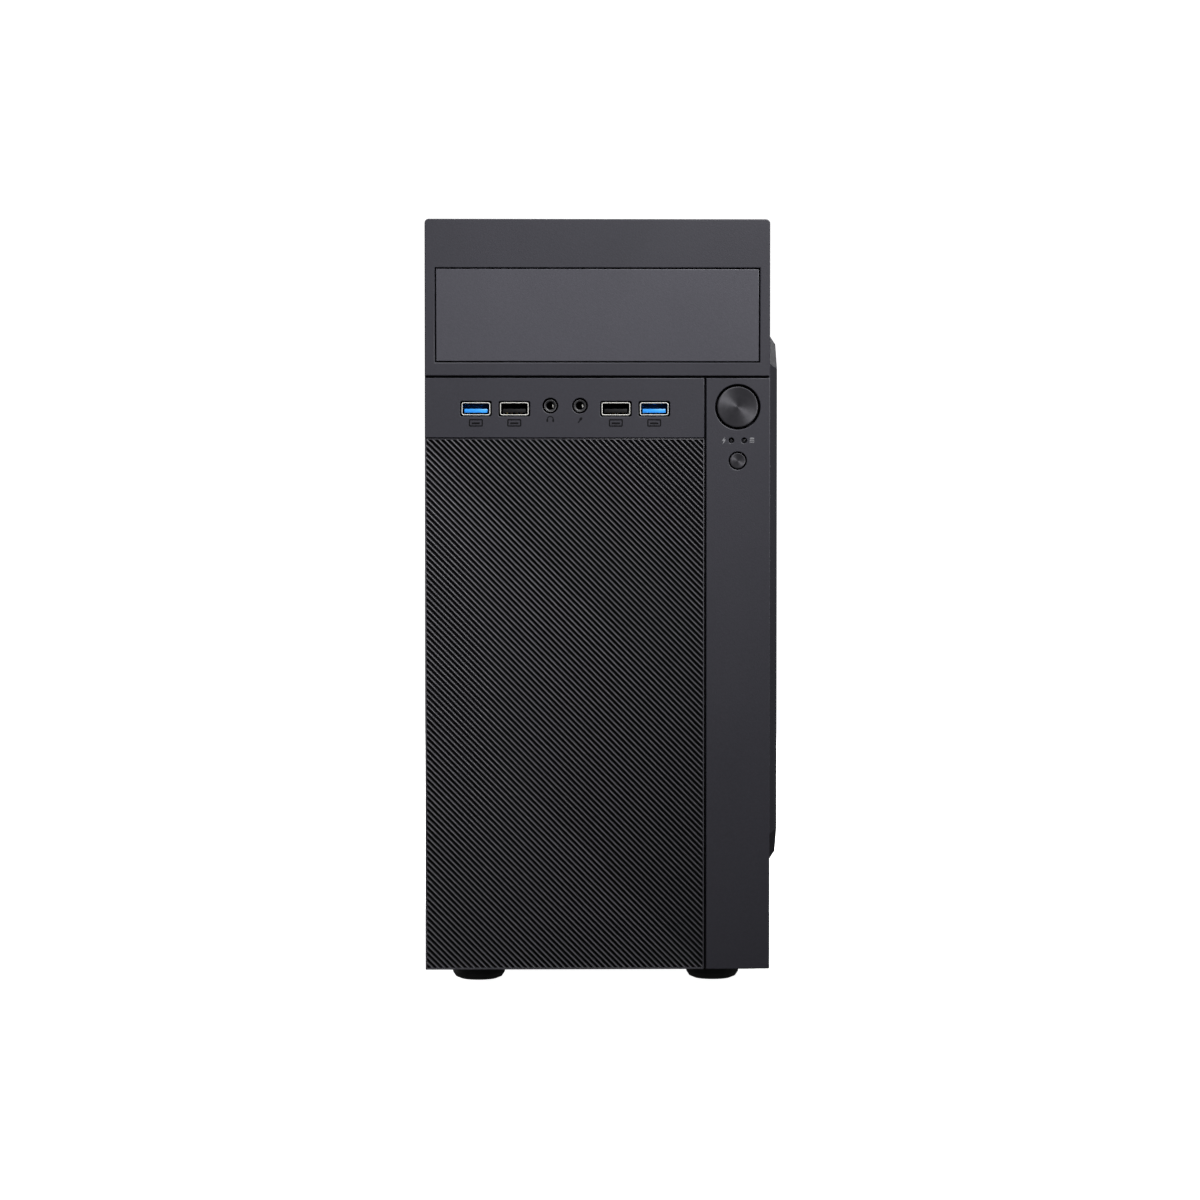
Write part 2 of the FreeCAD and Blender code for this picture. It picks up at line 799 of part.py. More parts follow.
def make_usb_ports():
    """The four steel shells of the front USB sockets."""
    shells = []
    face = FRONT + S.usb_sink
    for index, x in enumerate(port_places()):
        shell = Piece(f"usb_shell_{index}")
        wall = S.usb_wall
        outer = rounded(about(x, S.usb_width), about(PORT_Z, S.usb_height), S.usb_corner)
        inner_x = about(x, S.usb_width - 2 * wall)
        inner = rounded(inner_x, about(PORT_Z, S.usb_height - 2 * wall), S.usb_corner - wall)
        shell.pad("XZ", along(face, S.usb_depth), outer)
        shell.pocket("XZ", along(face, S.usb_depth - wall), inner)
        shells.append(shell.body)
    return node(group(*shells), "usb_ports")


def make_usb_tongues(label, places):
    """The moulded insides of USB sockets: a block at the back and the contact tongue."""
    tongues = []
    for x in places:
        back = FRONT + S.usb_sink + S.usb_depth - S.usb_wall
        room_x = about(x, S.usb_width - 2 * S.usb_wall - 0.2)
        room_z = about(PORT_Z, S.usb_height - 2 * S.usb_wall - 0.2)
        block = box(room_x, (back - S.tongue_block, back), room_z)
        tongue_z = about(PORT_Z - S.tongue_drop, S.tongue_thickness)
        tongue = box(about(x, S.tongue_width), (FRONT + S.tongue_sink, back), tongue_z)
        tongues.append(fuse(block, tongue))
    return node(group(*tongues), label)


def make_audio_jacks():
    """The headphone and microphone sockets: body, threaded-looking nose and blind bore."""
    jacks = []
    low = PORT_Z - S.usb_height / 2
    for x in jack_places():
        nose = rod("Y", (x, FRONT + 0.8, JACK_Z), 6, S.jack_ring)
        body = box(about(x, 6.6), (FRONT + 5.6, FRONT + 18), (low, low + 7.6))
        bore = rod("Y", (x, FRONT + 0.8, JACK_Z), S.jack_depth, S.jack_bore)
        jacks.append(cut(fuse(nose, body), bore))
    return node(group(*jacks), "audio_jacks")


# --- steel work ------------------------------------------------------------------------------------------


def make_pan(label, height_at):
    """The floor or the top: a sheet stepped inwards along both sides, with a rail along each edge."""
    t = S.sheet
    x1, x2 = INNER_LEFT, INNER_LEFT + S.ledge
    x3, x4 = INNER_RIGHT - S.ledge, INNER_RIGHT
    outer, step, rail = height_at(0), height_at(S.ledge_step), height_at(S.rail_height)
    outer_in, step_in = height_at(t), height_at(S.ledge_step + t)
    piece = Piece(label)
    outline = polygon(
        (x1, step), (x2, step), (x2, outer), (x3, outer), (x3, step), (x4, step),
        (x4, rail), (x4 - t, rail), (x4 - t, step_in), (x3 - t, step_in), (x3 - t, outer_in),
        (x2 + t, outer_in), (x2 + t, step_in), (x1 + t, step_in), (x1 + t, rail), (x1, rail),
    )
    piece.pad("XZ", (BEZEL_BACK + t, WALL_FACE), outline)
    return piece


def foot_places():
    """The middles of the four feet."""
    rows = (FRONT + S.foot_inset, FRONT + S.foot_rear)
    return [(MIDDLE + side * S.foot_spread, y) for side in (-1, 1) for y in rows]


def make_chassis_floor():
    """The floor pan, drilled for the feet."""
    piece = make_pan("chassis_floor", lambda depth: BOTTOM + depth)
    holes = [circle(x, y, S.screw_radius) for x, y in foot_places()]
    piece.pocket("XY", (BOTTOM, BOTTOM + S.sheet), *holes)
    return piece.finish()


def make_chassis_top():
    """The top pan."""
    return make_pan("chassis_top", lambda depth: TOP - depth).finish()


def make_chassis_front():
    """The front wall: bay window, cable hole and intake slots."""
    piece = Piece("chassis_front")
    span = along(BEZEL_BACK, S.sheet)
    piece.pad("XZ", span, rectangle((INNER_LEFT, INNER_RIGHT), (BOTTOM + S.ledge_step, TOP - S.ledge_step)))
    piece.pocket("XZ", span, bay_window(S.bay_gap))
    piece.pocket("XZ", span, rounded(about(MIDDLE + 30, 44), about(IO_LINE - 6, 20), size(4)))
    piece.pocket("XZ", span, rounded(about(MIDDLE - 8, 90), about(BOTTOM + 60, 5), size(2.4)))
    return piece.repeat(size(12), 11).finish()


def slot_heights():
    """The heights of the four card slots, from the top."""
    first = SHIELD_Z[0] - 12
    return [first - S.slot_pitch * index for index in range(int(S.slot_count.value))]


def fan_corner_places(x, z, spread):
    """The four screw places of a fan, on its face."""
    return [(x + side * spread, z + lift * spread) for side in (-0.5, 0.5) for lift in (-0.5, 0.5)]


FAN_HOLES = S.fan_side * 0.894
PSU_SCREWS = [(MIDDLE + dx, PSU_Z[0] + dz) for dx, dz in ((-69, 6), (-69, 70), (69, 6), (45, 80))]
SLOT_SCREW_X = BOARD_FACE - 108
PANEL_SCREW_Z = (BOTTOM + S.screw_low, BOTTOM + S.screw_high)


def make_chassis_rear():
    """The rear wall: openings for the power supply, the socket shield, the cards and the fan."""
    piece = Piece("rear_sheet")
    span = (WALL_FACE, WALL_BACK)
    piece.pad("XZ", span, rectangle((INNER_LEFT, INNER_RIGHT), (BOTTOM + S.ledge_step, TOP - S.ledge_step)))
    psu_window = rectangle((PSU_X[0] + 3, PSU_X[1] - 12), (PSU_Z[0] + 12, PSU_Z[1] - 10))
    slot_x = (BOARD_FACE - 6 - S.slot_opening, BOARD_FACE - 6)
    slots = [rectangle(slot_x, about(z, S.slot_slit)) for z in slot_heights()]
    piece.pocket("XZ", span, psu_window, rectangle(SHIELD_X, SHIELD_Z), *slots)
    holes = [circle(x, z, S.screw_radius) for x, z in fan_corner_places(REAR_FAN[0], REAR_FAN[2], FAN_HOLES)]
    holes += [circle(x, z, S.screw_radius) for x, z in PSU_SCREWS]
    panel_screw_x = (LEFT + S.screw_inset, RIGHT - S.screw_inset)
    holes += [circle(x, z, S.screw_clearance) for x in panel_screw_x for z in PANEL_SCREW_Z]
    piece.pocket("XZ", span, *holes)
    centre = (REAR_FAN[0], WALL_FACE - 1, REAR_FAN[2])
    fan_slots = grille("Y", centre, S.sheet + 2, S.fan_side * 0.475, 4, 5)
    return node(cut(piece.body, fan_slots), "chassis_rear")


def make_motherboard_tray():
    """The upright sheet that the circuit board is fixed to, folded at its front edge."""
    piece = Piece("motherboard_tray")
    t = S.sheet
    start = BOARD_REAR - S.board_depth - 20
    fold_x = (INNER_RIGHT - 2 * t, INNER_RIGHT - t)
    outline = polygon(
        (TRAY_X, start), (fold_x[1], start), (fold_x[1], start + 14), (fold_x[0], start + 14),
        (fold_x[0], start + t), (TRAY_X + t, start + t), (TRAY_X + t, WALL_FACE), (TRAY_X, WALL_FACE),
    )
    piece.pad("XY", (BOTTOM + LEDGE_FACE, PSU_Z[0] - 1), outline)
    cooler_y, cooler_z = COOLER
    openings = [
        rounded(about(cooler_y, 80), about(cooler_z, 70), size(6)),
        rounded(about(start + 12, 10), about(BOTTOM + 150, 60), size(4)),
    ]
    piece.pocket("YZ", (TRAY_X, TRAY_X + t), *openings)
    return piece.finish()


def make_drive_cage():
    """The cradle that hangs from the top and carries a 5.25 inch drive."""
    piece = Piece("drive_cage")
    t = S.sheet
    x = about(MIDDLE, S.bay_width + 2 * S.bay_gap)
    low = BAY_Z[0] - S.bay_gap - t
    high = TOP - LEDGE_FACE
    span = along(BEZEL_BACK + t, 130)
    outline = polygon(
        (x[0] - t, low), (x[1] + t, low), (x[1] + t, high), (x[1], high),
        (x[1], low + t), (x[0], low + t), (x[0], high), (x[0] - t, high),
    )
    piece.pad("XZ", span, outline)
    piece.pocket("XY", (low, low + t), rounded(about(MIDDLE, 108), about(BEZEL_BACK + 66, 90), size(6)))
    return piece.finish()


def make_disk_bracket():
    """The cradle on the floor that carries the hard disk."""
    piece = Piece("disk_bracket")
    t = S.sheet
    x = (DISK_X[0] - 0.2, DISK_X[1] + 0.2)
    low = BOTTOM + t
    shelf = DISK_Z[0] - t
    high = DISK_Z[0] + 18
    outline = polygon(
        (x[0] - 8, low), (x[0], low), (x[0], shelf), (x[1], shelf), (x[1], low), (x[1] + 8, low),
        (x[1] + 8, low + t), (x[1] + t, low + t), (x[1] + t, high), (x[1], high), (x[1], shelf + t),
        (x[0], shelf + t), (x[0], high), (x[0] - t, high), (x[0] - t, low + t), (x[0] - 8, low + t),
    )
    piece.pad("XZ", (DISK_Y[0] + 6, DISK_Y[1] - 18), outline)
    window_x = about(DISK_X[0] + S.disk_width / 2, 60)
    piece.pocket("XY", (shelf, shelf + t), rounded(window_x, about(DISK_Y[0] + 66, 90), size(5)))
    return piece.finish()


def octagon(y, z, corner):
    """A rectangle between two spans with its corners cut off."""
    return polygon(
        (y[0] + corner, z[0]), (y[1] - corner, z[0]), (y[1], z[0] + corner), (y[1], z[1] - corner),
        (y[1] - corner, z[1]), (y[0] + corner, z[1]), (y[0], z[1] - corner), (y[0], z[0] + corner),
    )


def make_side_panel(label, x_at):
    """A side panel: a sheet with a lip along its top and bottom and a drilled flange at the rear,
    which stops short of the power supply."""
    piece = Piece(label)
    t = S.sheet
    outline = polygon(
        (x_at(0), BOTTOM), (x_at(S.lip), BOTTOM), (x_at(S.lip), BOTTOM + t), (x_at(t), BOTTOM + t),
        (x_at(t), TOP - t), (x_at(S.lip), TOP - t), (x_at(S.lip), TOP), (x_at(0), TOP),
    )
    piece.pad("XZ", (BEZEL_BACK + 0.5, FLANGE_BACK), outline)
    high = PSU_Z[0] - 2
    flange = polygon((x_at(0), BOTTOM), (x_at(S.flange), BOTTOM), (x_at(S.flange), high), (x_at(0), high))
    piece.pad("XZ", (FLANGE_BACK - t, FLANGE_BACK), flange)
    holes = [circle(x_at(S.screw_inset), z, S.screw_radius) for z in PANEL_SCREW_Z]
    piece.pocket("XZ", (FLANGE_BACK - t, FLANGE_BACK), *holes)
    return piece


def make_side_panel_left():
    """The plain access panel, with a field of vent slots beside the processor's cooler."""
    piece = make_side_panel("side_panel_left", lambda depth: LEFT + depth)
    cooler_y, cooler_z = COOLER
    for side in (-1, 1):
        slot = rounded(about(cooler_y + side * 21, 36), about(cooler_z - 36, 4), size(1.9))
        piece.pocket("YZ", (LEFT, LEFT + S.sheet), slot)
        piece.repeat(size(9), 9)
    return piece.finish()


def make_side_panel_right():
    """The panel behind the board, pressed outwards in a large eight-sided bulge."""
    piece = make_side_panel("side_panel_right", lambda depth: RIGHT - depth)
    y = along(FRONT + S.bulge_front, S.bulge_length)
    z = along(BOTTOM + S.bulge_low, S.bulge_span)
    slope = S.bulge_slope
    foot = octagon(y, z, S.bulge_cut + slope * 0.6)
    crown = octagon((y[0] + slope, y[1] - slope), (z[0] + slope, z[1] - slope), S.bulge_cut)
    piece.loft("AdditiveLoft", "YZ", (RIGHT, foot), (RIGHT + S.bulge_height, crown))
    piece.loft("SubtractiveLoft", "YZ", (RIGHT - S.sheet, foot), (RIGHT + S.bulge_height - S.sheet, crown))
    return piece.finish()


def make_thumbscrews(label, x):
    """The two knurled screws that hold a side panel, kept by the panel when they are undone."""
    screws = []
    for index, z in enumerate(PANEL_SCREW_Z):
        outline = (
            (0, -6), (S.screw_radius, -6), (S.screw_radius, 0), (4.5, 0), (4.5, 1.2), (5.6, 1.2),
            (5.6, 5.7), (4.8, S.screw_reach), (2.6, S.screw_reach), (2.2, 5.2), (0, 5.2),
        )
        screws.append(turned(f"{label}_{index}", "Y", (x, FLANGE_BACK, z), outline).body)
    return node(group(*screws), label)


def make_feet():
    """Four round feet with domed rims, hollow round their screws."""
    feet = []
    for index, (x, y) in enumerate(foot_places()):
        r = S.foot_radius
        outline = (
            (S.screw_radius, 4), (4, 4), (4, 0), (r - 4, 0), (r - 1.6, 1), (r - 0.3, 3), (r, 5),
            (r, S.foot_height), (S.screw_radius, S.foot_height),
        )
        feet.append(turned(f"foot_{index}", "Z", (x, y, 0), outline).body)
    return node(group(*feet), "feet")


def make_foot_screws():
    """The screws that hold the feet to the floor pan."""
    screws = []
    for x, y in foot_places():
        shank = rod("Z", (x, y, 3), BOTTOM + 2, S.screw_radius)
        screws.append(fuse(shank, rod("Z", (x, y, 1.5), 2.5, 3.2)))
    return node(group(*screws), "foot_screws")


def make_slot_covers():
    """Four blank brackets over the card slots, each with a folded tab under its screw."""
    covers = []
    for z in slot_heights():
        t = S.sheet
        plate = box((BOARD_FACE - 112, BOARD_FACE - 2), (WALL_FACE - t, WALL_FACE), about(z, 18.4))
        tab = box((BOARD_FACE - 112, BOARD_FACE - 112 + t), (WALL_FACE - 12, WALL_FACE), about(z, 18.4))
        covers.append(fuse(plate, tab))
    return node(group(*covers), "slot_covers")


def make_rear_screws():
    """The screws of the fan, the power supply and the card slots, all alike."""
    places = fan_corner_places(REAR_FAN[0], REAR_FAN[2], FAN_HOLES)
    places += PSU_SCREWS
    screws = []
    for x, z in places:
        shank = rod("Y", (x, WALL_FACE - 5, z), 5 + S.sheet, S.screw_radius)
        screws.append(fuse(shank, rod("Y", (x, WALL_BACK, z), 1.8, 3.2)))
    return node(group(*screws), "rear_screws")


# --- fans ------------------------------------------------------------------------------------------------


HUB = 0.23
PIN = 1.5
PIN_FIT = 0.06
MOTOR_DEPTH = 4


def upright(item, axis, centre):
    """Turns a part that was built along Z so that it lies along an axis, with its middle at a place."""
    item.Placement.Rotation = TURNS[axis]
    return move(item, *centre)


def make_fan_frame(label, axis, centre, side, depth):
    """A fan's square frame: round duct, four struts and the motor seat on the far side."""
    piece = Piece(label)
    duct = side * 0.475
    span = (-depth / 2, depth / 2)
    piece.pad("XY", span, rounded(about(size(0), side), about(size(0), side), side * 0.05))
    holes = [circle(x, z, S.screw_radius) for x, z in fan_corner_places(size(0), size(0), side * 0.894)]
    piece.pocket("XY", span, circle(size(0), size(0), duct), *holes)
    seat = (depth / 2 - MOTOR_DEPTH, depth / 2)
    strut = (depth / 2 - 3, depth / 2)
    piece.pad("XY", strut, rectangle(about(size(0), side * 0.97), about(size(0), 4)))
    piece.pad("XY", strut, rectangle(about(size(0), 4), about(size(0), side * 0.97)))
    piece.pad("XY", seat, circle(size(0), size(0), side * HUB))
    piece.pocket("XY", seat, circle(size(0), size(0), size(PIN + PIN_FIT)))
    upright(piece.body, axis, centre)
    return piece.finish()


def make_fan_rotor(label, axis, centre, side, depth, blades=7):
    """A fan's rotor: cup, pin and seven twisted blades."""
    hub = side * HUB
    reach = side * 0.475 - 0.9
    low = -depth / 2 + 1
    high = depth / 2 - MOTOR_DEPTH - 0.6
    cup = rod("Z", (size(0), size(0), low), high - low, hub)
    pin_rod = rod("Z", (size(0), size(0), high - 1), MOTOR_DEPTH + 1.2, size(PIN))
    chord = side * 0.26
    parts = [cup, pin_rod]
    for index in range(blades):
        blade = doc.addObject("Part::Box", "Blade")
        bind(blade, Length=reach - hub + 2, Width=chord, Height=1.4)
        turn = Rotation(Vector(0, 0, 1), 360 * index / blades)
        tilt = Rotation(Vector(1, 0, 0), 38)
        start = turn.multVec(Vector(hub.value - 2, 0, 0) + tilt.multVec(Vector(0, -chord.value / 2, -0.7)))
        blade.Placement = Placement(start + Vector(0, 0, (low + high).value / 2), turn.multiply(tilt))
        parts.append(blade)
    swept = common(fuse(*parts[2:]), rod("Z", (size(0), size(0), low), high - low, reach))
    return node(upright(fuse(cup, pin_rod, swept), axis, centre), label)


# --- power supply ----------------------------------------------------------------------------------------


INLET_X = PSU_X[0] + 30
ROCKER_X = INLET_X + 27
REAR_UNITS_Z = PSU_Z[0] + 48


def make_psu_case():
    """The power supply's tray: a floor with the fan's grille, and upright front and rear walls."""
    wall = S.sheet
    inner_x = (PSU_X[0] + wall, PSU_X[1] - wall)
    shell = wall_box(inner_x, PSU_Y, (PSU_Z[0], PSU_Z[1] - wall), wall, ("+Z", "+X", "-X"))
    centre = ((PSU_X[0] + PSU_X[1]) / 2, (PSU_Y[0] + PSU_Y[1]) / 2, PSU_Z[0] - 1)
    fan_slots = grille("Z", centre, wall + 2, S.psu_fan_side * 0.475, 6, 5)
    rear = (PSU_Y[1] - wall - 1, PSU_Y[1] + 1)
    inlet = box(about(INLET_X, S.inlet_width), rear, about(REAR_UNITS_Z, S.inlet_height))
    rocker = box(about(ROCKER_X, S.rocker_width + 3), rear, about(REAR_UNITS_Z, S.rocker_height + 4))
    vents = []
    for row in range(7):
        for column in range(8):
            x = PSU_X[0] + 80 + 7 * column + 3.5 * (row % 2)
            vents.append(rod("Y", (x, rear[0], PSU_Z[0] + 22 + 6.2 * row), wall + 2, size(2.6)))
    exit_hole = rod("Y", (MIDDLE + 30, PSU_Y[0] - 1, PSU_Z[0] + 30), wall + 2, size(10))
    holes = [rod("Y", (x, rear[0], z), wall + 2, S.screw_radius) for x, z in PSU_SCREWS]
    return node(cut(shell, fan_slots, inlet, rocker, group(*vents), exit_hole, *holes), "psu_case")


def make_psu_cover():
    """The power supply's cover: its top and two sides, folded from one sheet."""
    return node(wall_box(PSU_X, PSU_Y, PSU_Z, S.sheet, ("-Z", "+Y", "-Y")), "psu_cover")


def make_mains_inlet():
    """The mains inlet: a moulded socket with three flat pins."""
    flange_z = about(REAR_UNITS_Z, S.inlet_height + 5)
    flange = box(about(INLET_X, S.inlet_width + 5), along(WALL_FACE, 1.6), flange_z)
    body_x = about(INLET_X, S.inlet_width - 0.4)
    body_z = about(REAR_UNITS_Z, S.inlet_height - 0.4)
    body = box(body_x, (WALL_FACE - 20, WALL_FACE), body_z)
    cavity = box(about(INLET_X, 24), (WALL_FACE - 15, WALL_FACE + 2), about(REAR_UNITS_Z, 16.5))
    pin_y = (WALL_FACE - 16, WALL_FACE - 2)
    pin_places = ((-7, -1.5), (0, 2), (7, -1.5))
    pins = [box(about(INLET_X + dx, 2), pin_y, about(REAR_UNITS_Z + dz, 4)) for dx, dz in pin_places]
    return node(fuse(cut(fuse(flange, body), cavity), *pins), "mains_inlet")


ROCKER_PIN = 1.2
ROCKER_TILT = -9


def make_rocker_frame():
    """The mains switch's frame, snapped into the rear of the power supply, with pivot holes."""

    def ring(margin_x, margin_z, y):
        z = about(REAR_UNITS_Z, S.rocker_height + margin_z)
        return box(about(ROCKER_X, S.rocker_width + margin_x), y, z)

    flange = ring(6, 7, along(WALL_FACE, 1.6))
    body = ring(2.8, 3.8, (WALL_FACE - 15, WALL_FACE))
    mouth = ring(0.6, 1.6, (WALL_FACE - 9, WALL_FACE + 2))
    pivot = rod("X", (ROCKER_X - 6, WALL_FACE - 3, REAR_UNITS_Z), 12, size(ROCKER_PIN + PIN_FIT))
    return node(cut(fuse(flange, body), mouth, pivot), "rocker_frame")


def make_rocker_switch():
    """The mains switch's rocker: a shallow vee on its own pin, at rest with its lower half pressed in."""
    piece = Piece("rocker_switch")
    half = S.rocker_height / 2
    outline = polygon(
        (-1.6, -3), (1.8, -half), (6, 0.5 - half), (3.8, 0), (6, half - 0.5), (1.8, half), (-1.6, 3),
    )
    piece.pad("YZ", about(size(0), S.rocker_width), outline)
    piece.pad("YZ", about(size(0), S.rocker_width + 2.4), circle(0, 0, size(ROCKER_PIN)))
    piece.body.Placement.Rotation = Rotation(Vector(1, 0, 0), ROCKER_TILT)
    move(piece.body, ROCKER_X, WALL_FACE - 3, REAR_UNITS_Z)
    return piece.finish()


# --- circuit board and what is on it ---------------------------------------------------------------------


def board_holes():
    """The fixing holes of the circuit board."""
    return [(BOARD_REAR - back, BOARD_LOW + up) for back in (26, 90, 176) for up in (10, 118, 216)]


def make_motherboard():
    """The bare circuit board, upright on the tray."""
    piece = Piece("motherboard")
    y = (BOARD_REAR - S.board_depth, BOARD_REAR)
    piece.pad("YZ", (BOARD_FACE, BOARD_BACK), rectangle(y, along(BOARD_LOW, S.board_height)))
    piece.pocket("YZ", (BOARD_FACE, BOARD_BACK), *(circle(y, z, size(2)) for y, z in board_holes()))
    return piece.finish()


def make_standoffs():
    """The brass posts between tray and board."""
    posts = [rod("X", (BOARD_BACK, y, z), S.standoff, size(3)) for y, z in board_holes()]
    return node(group(*posts), "standoffs")


def make_board_screws():
    """The screws that hold the board to its posts."""
    screws = []
    for y, z in board_holes():
        head = rod("X", (BOARD_FACE - 1.8, y, z), 1.8, size(3))
        screws.append(fuse(head, rod("X", (BOARD_FACE - 1, y, z), S.board_thickness + 1, S.screw_radius)))
    return node(group(*screws), "board_screws")


# each rear socket: height of its lower edge above the board's foot, its height, how far it stands off the
# board, and the margin of its opening
REAR_SOCKETS = (
    (202, 14, 27, 2),
    (180, 16, 13, 2.5),
    (158, 17, 12, 3),
    (136, 15, 17, 1.6),
    (112, 17, 28, 2),
    (74, 32, 13, 3),
)


def make_rear_ports():
    """The blocks of sockets along the board's rear edge, hollow where plugs go in."""
    ports = []
    for up, height, stand, margin in REAR_SOCKETS:
        z = along(BOARD_LOW + up, height)
        block = box((BOARD_FACE - stand, BOARD_FACE), (WALL_FACE - 18, WALL_BACK + 0.6), z)
        hollow_x = (BOARD_FACE - stand + margin, BOARD_FACE - margin)
        hollow = box(hollow_x, (WALL_FACE - 10, WALL_BACK + 2), (z[0] + margin, z[1] - margin))
        ports.append(cut(block, hollow))
    return node(group(*ports), "rear_ports")


def make_io_shield():
    """The thin plate round the rear sockets."""
    piece = Piece("io_shield")
    span = (WALL_FACE - 1.2, WALL_FACE)
    edge = 1.5
    plate = rectangle((SHIELD_X[0] - edge, SHIELD_X[1] + edge), (SHIELD_Z[0] - edge, SHIELD_Z[1] + edge))
    piece.pad("XZ", span, plate)
    cuts = []
    for up, height, stand, margin in REAR_SOCKETS:
        x = (BOARD_FACE - stand - 0.4, BOARD_FACE + 0.4)
        cuts.append(rectangle(x, (BOARD_LOW + up - 0.4, BOARD_LOW + up + height + 0.4)))
    piece.pocket("XZ", span, *cuts)
    return piece.finish()


def make_processor():
    """The processor in its socket."""
    y, z = COOLER
    socket = box((BOARD_FACE - 4, BOARD_FACE), about(y, 48), about(z, 52))
    lid = box((BOARD_FACE - 6, BOARD_FACE - 4), about(y, 32), about(z, 32))
    return node(fuse(socket, lid), "processor")


COOLER_BASE = BOARD_FACE - 6
COOLER_FACE = COOLER_BASE - 26


def make_heatsink():
    """The processor's heatsink: a round core with fins all round, and four legs to the board."""
    y, z = COOLER
    core = rod("X", (COOLER_FACE, y, z), COOLER_BASE - COOLER_FACE, size(15))
    parts = [core]
    count = int(S.cooler_fins.value)
    for index in range(count):
        fin = doc.addObject("Part::Box", "Fin")
        bind(fin, Length=22, Width=1, Height=S.cooler_radius - 13)
        turn = Rotation(Vector(1, 0, 0), 360 * index / count)
        start = turn.multVec(Vector(0, -0.5, 13))
        fin.Placement = Placement(start, turn)
        move(fin, COOLER_FACE, y + start.y, z + start.z)
        parts.append(fin)
    legs = []
    for dy in (-33, 33):
        for dz in (-33, 33):
            legs.append(rod("X", (COOLER_FACE, y + dy, z + dz), BOARD_FACE - COOLER_FACE, size(2.5)))
    ring = cut(
        box(along(COOLER_FACE, 2), about(y, S.fan_side), about(z, S.fan_side)),
        rod("X", (COOLER_FACE - 1, y, z), 4, size(36)),
    )
    return node(fuse(*parts, ring, *legs), "heatsink")


# each: distance of its middle from the board's rear edge, height of its lower end above the board's foot
MEMORY_PLACES = (128, 138)
MEMORY_LOW = 84
MEMORY_LENGTH = 133


def make_memory_slots():
    """Two long sockets with a latch at each end."""
    slots = []
    for back in MEMORY_PLACES:
        y = about(BOARD_REAR - back, 6.5)
        z = along(BOARD_LOW + MEMORY_LOW, MEMORY_LENGTH + 8)
        bar = box((BOARD_FACE - 9, BOARD_FACE), y, z)
        ends = [
            box((BOARD_FACE - 18, BOARD_FACE - 9), y, along(z[0], 3.8)),
            box((BOARD_FACE - 18, BOARD_FACE - 9), y, (z[1] - 3.8, z[1])),
        ]
        groove = box((BOARD_FACE - 10, BOARD_FACE - 4), about(BOARD_REAR - back, 1.6), (z[0] + 4, z[1] - 4))
        slots.append(cut(fuse(bar, *ends), groove))
    return node(group(*slots), "memory_slots")


def make_memory_module():
    """One memory module in the first socket: board and eight chips."""
    y = BOARD_REAR - MEMORY_PLACES[0]
    z = along(BOARD_LOW + MEMORY_LOW + 4.1, MEMORY_LENGTH - 0.2)
    board = box((BOARD_FACE - 34, BOARD_FACE - 4.1), about(y, 1.3), z)
    chips = []
    for index in range(8):
        chip_z = along(z[0] + 8 + 15.2 * index, 10)
        chips.append(box((BOARD_FACE - 28, BOARD_FACE - 18), (y - 1.8, y - 0.65), chip_z))
    return node(fuse(board, *chips), "memory_module")


def make_expansion_slots():
    """The card sockets: one long and two short."""
    slots = []
    for z, length in zip(slot_heights(), (89, 25, 25)):
        y = (BOARD_REAR - 48 - length, BOARD_REAR - 48)
        bar = box((BOARD_FACE - 11, BOARD_FACE), y, about(z, 7.4))
        groove = box((BOARD_FACE - 12, BOARD_FACE - 4), (y[0] + 2, y[1] - 2), about(z, 1.8))
        slots.append(cut(bar, groove))
    return node(group(*slots), "expansion_slots")


POWER_HEADER = (BOARD_REAR - 150, BOARD_LOW + 150)
DISK_HEADER = (BOARD_REAR - 178, BOARD_LOW + 62)
PANEL_HEADER = (BOARD_REAR - 172, BOARD_LOW + 20)


def make_board_headers():
    """Plug headers on the board: main power, processor power, disks, front panel."""
    spots = (
        (POWER_HEADER, 10, 52, 12), ((BOARD_REAR - 108, BOARD_LOW + 214), 10, 10, 12),
        (DISK_HEADER, 8, 14, 8), ((DISK_HEADER[0], DISK_HEADER[1] + 20), 8, 14, 8),
        (PANEL_HEADER, 20, 5, 9), ((BOARD_REAR - 140, BOARD_LOW + 20), 24, 5, 9),
    )
    headers = []
    for (y, z), depth, height, stand in spots:
        headers.append(box((BOARD_FACE - stand, BOARD_FACE), about(y, depth), about(z, height)))
    return node(group(*headers), "board_headers")


def make_capacitors():
    """Upright capacitors round the processor and by the card sockets."""
    places = [(28, 136 + 13 * index) for index in range(3)]
    places += [(116, 150 + 12 * index) for index in range(3)]
    places += [(46 + 10 * index, 218) for index in range(4)]
    places += [(112, 30), (112, 42)]
    tall = 12
    cans = []
    for back, up in places:
        cans.append(rod("X", (BOARD_FACE - tall, BOARD_REAR - back, BOARD_LOW + up), tall, size(4)))
    return node(group(*cans), "capacitors")


def make_chipset_heatsink():
    """A small finned heatsink."""
    y = about(BOARD_REAR - 154, 30)
    low = BOARD_LOW + 35
    base = box((BOARD_FACE - 5, BOARD_FACE), y, along(low, 30))
    fins = [box((BOARD_FACE - 16, BOARD_FACE - 5), y, along(low + 4.12 * index, 1.1)) for index in range(8)]
    return node(fuse(base, *fins), "chipset_heatsink")


# --- hard disk -------------------------------------------------------------------------------------------


def make_hard_disk():
    """The hard disk's cast body, with the round rise over its platters and the plug at its rear."""
    body = box(DISK_X, DISK_Y, (DISK_Z[0] + 2, DISK_Z[1] - 1.5))
    middle_x = (DISK_X[0] + DISK_X[1]) / 2
    rise = rod("Z", (middle_x, DISK_Y[0] + 52, DISK_Z[1] - 1.5), 1.5, size(47))
    arm = box(about(middle_x + 18, 40), (DISK_Y[0] + 80, DISK_Y[1] - 10), (DISK_Z[1] - 1.5, DISK_Z[1] - 0.6))
    return node(fuse(body, rise, arm), "hard_disk")


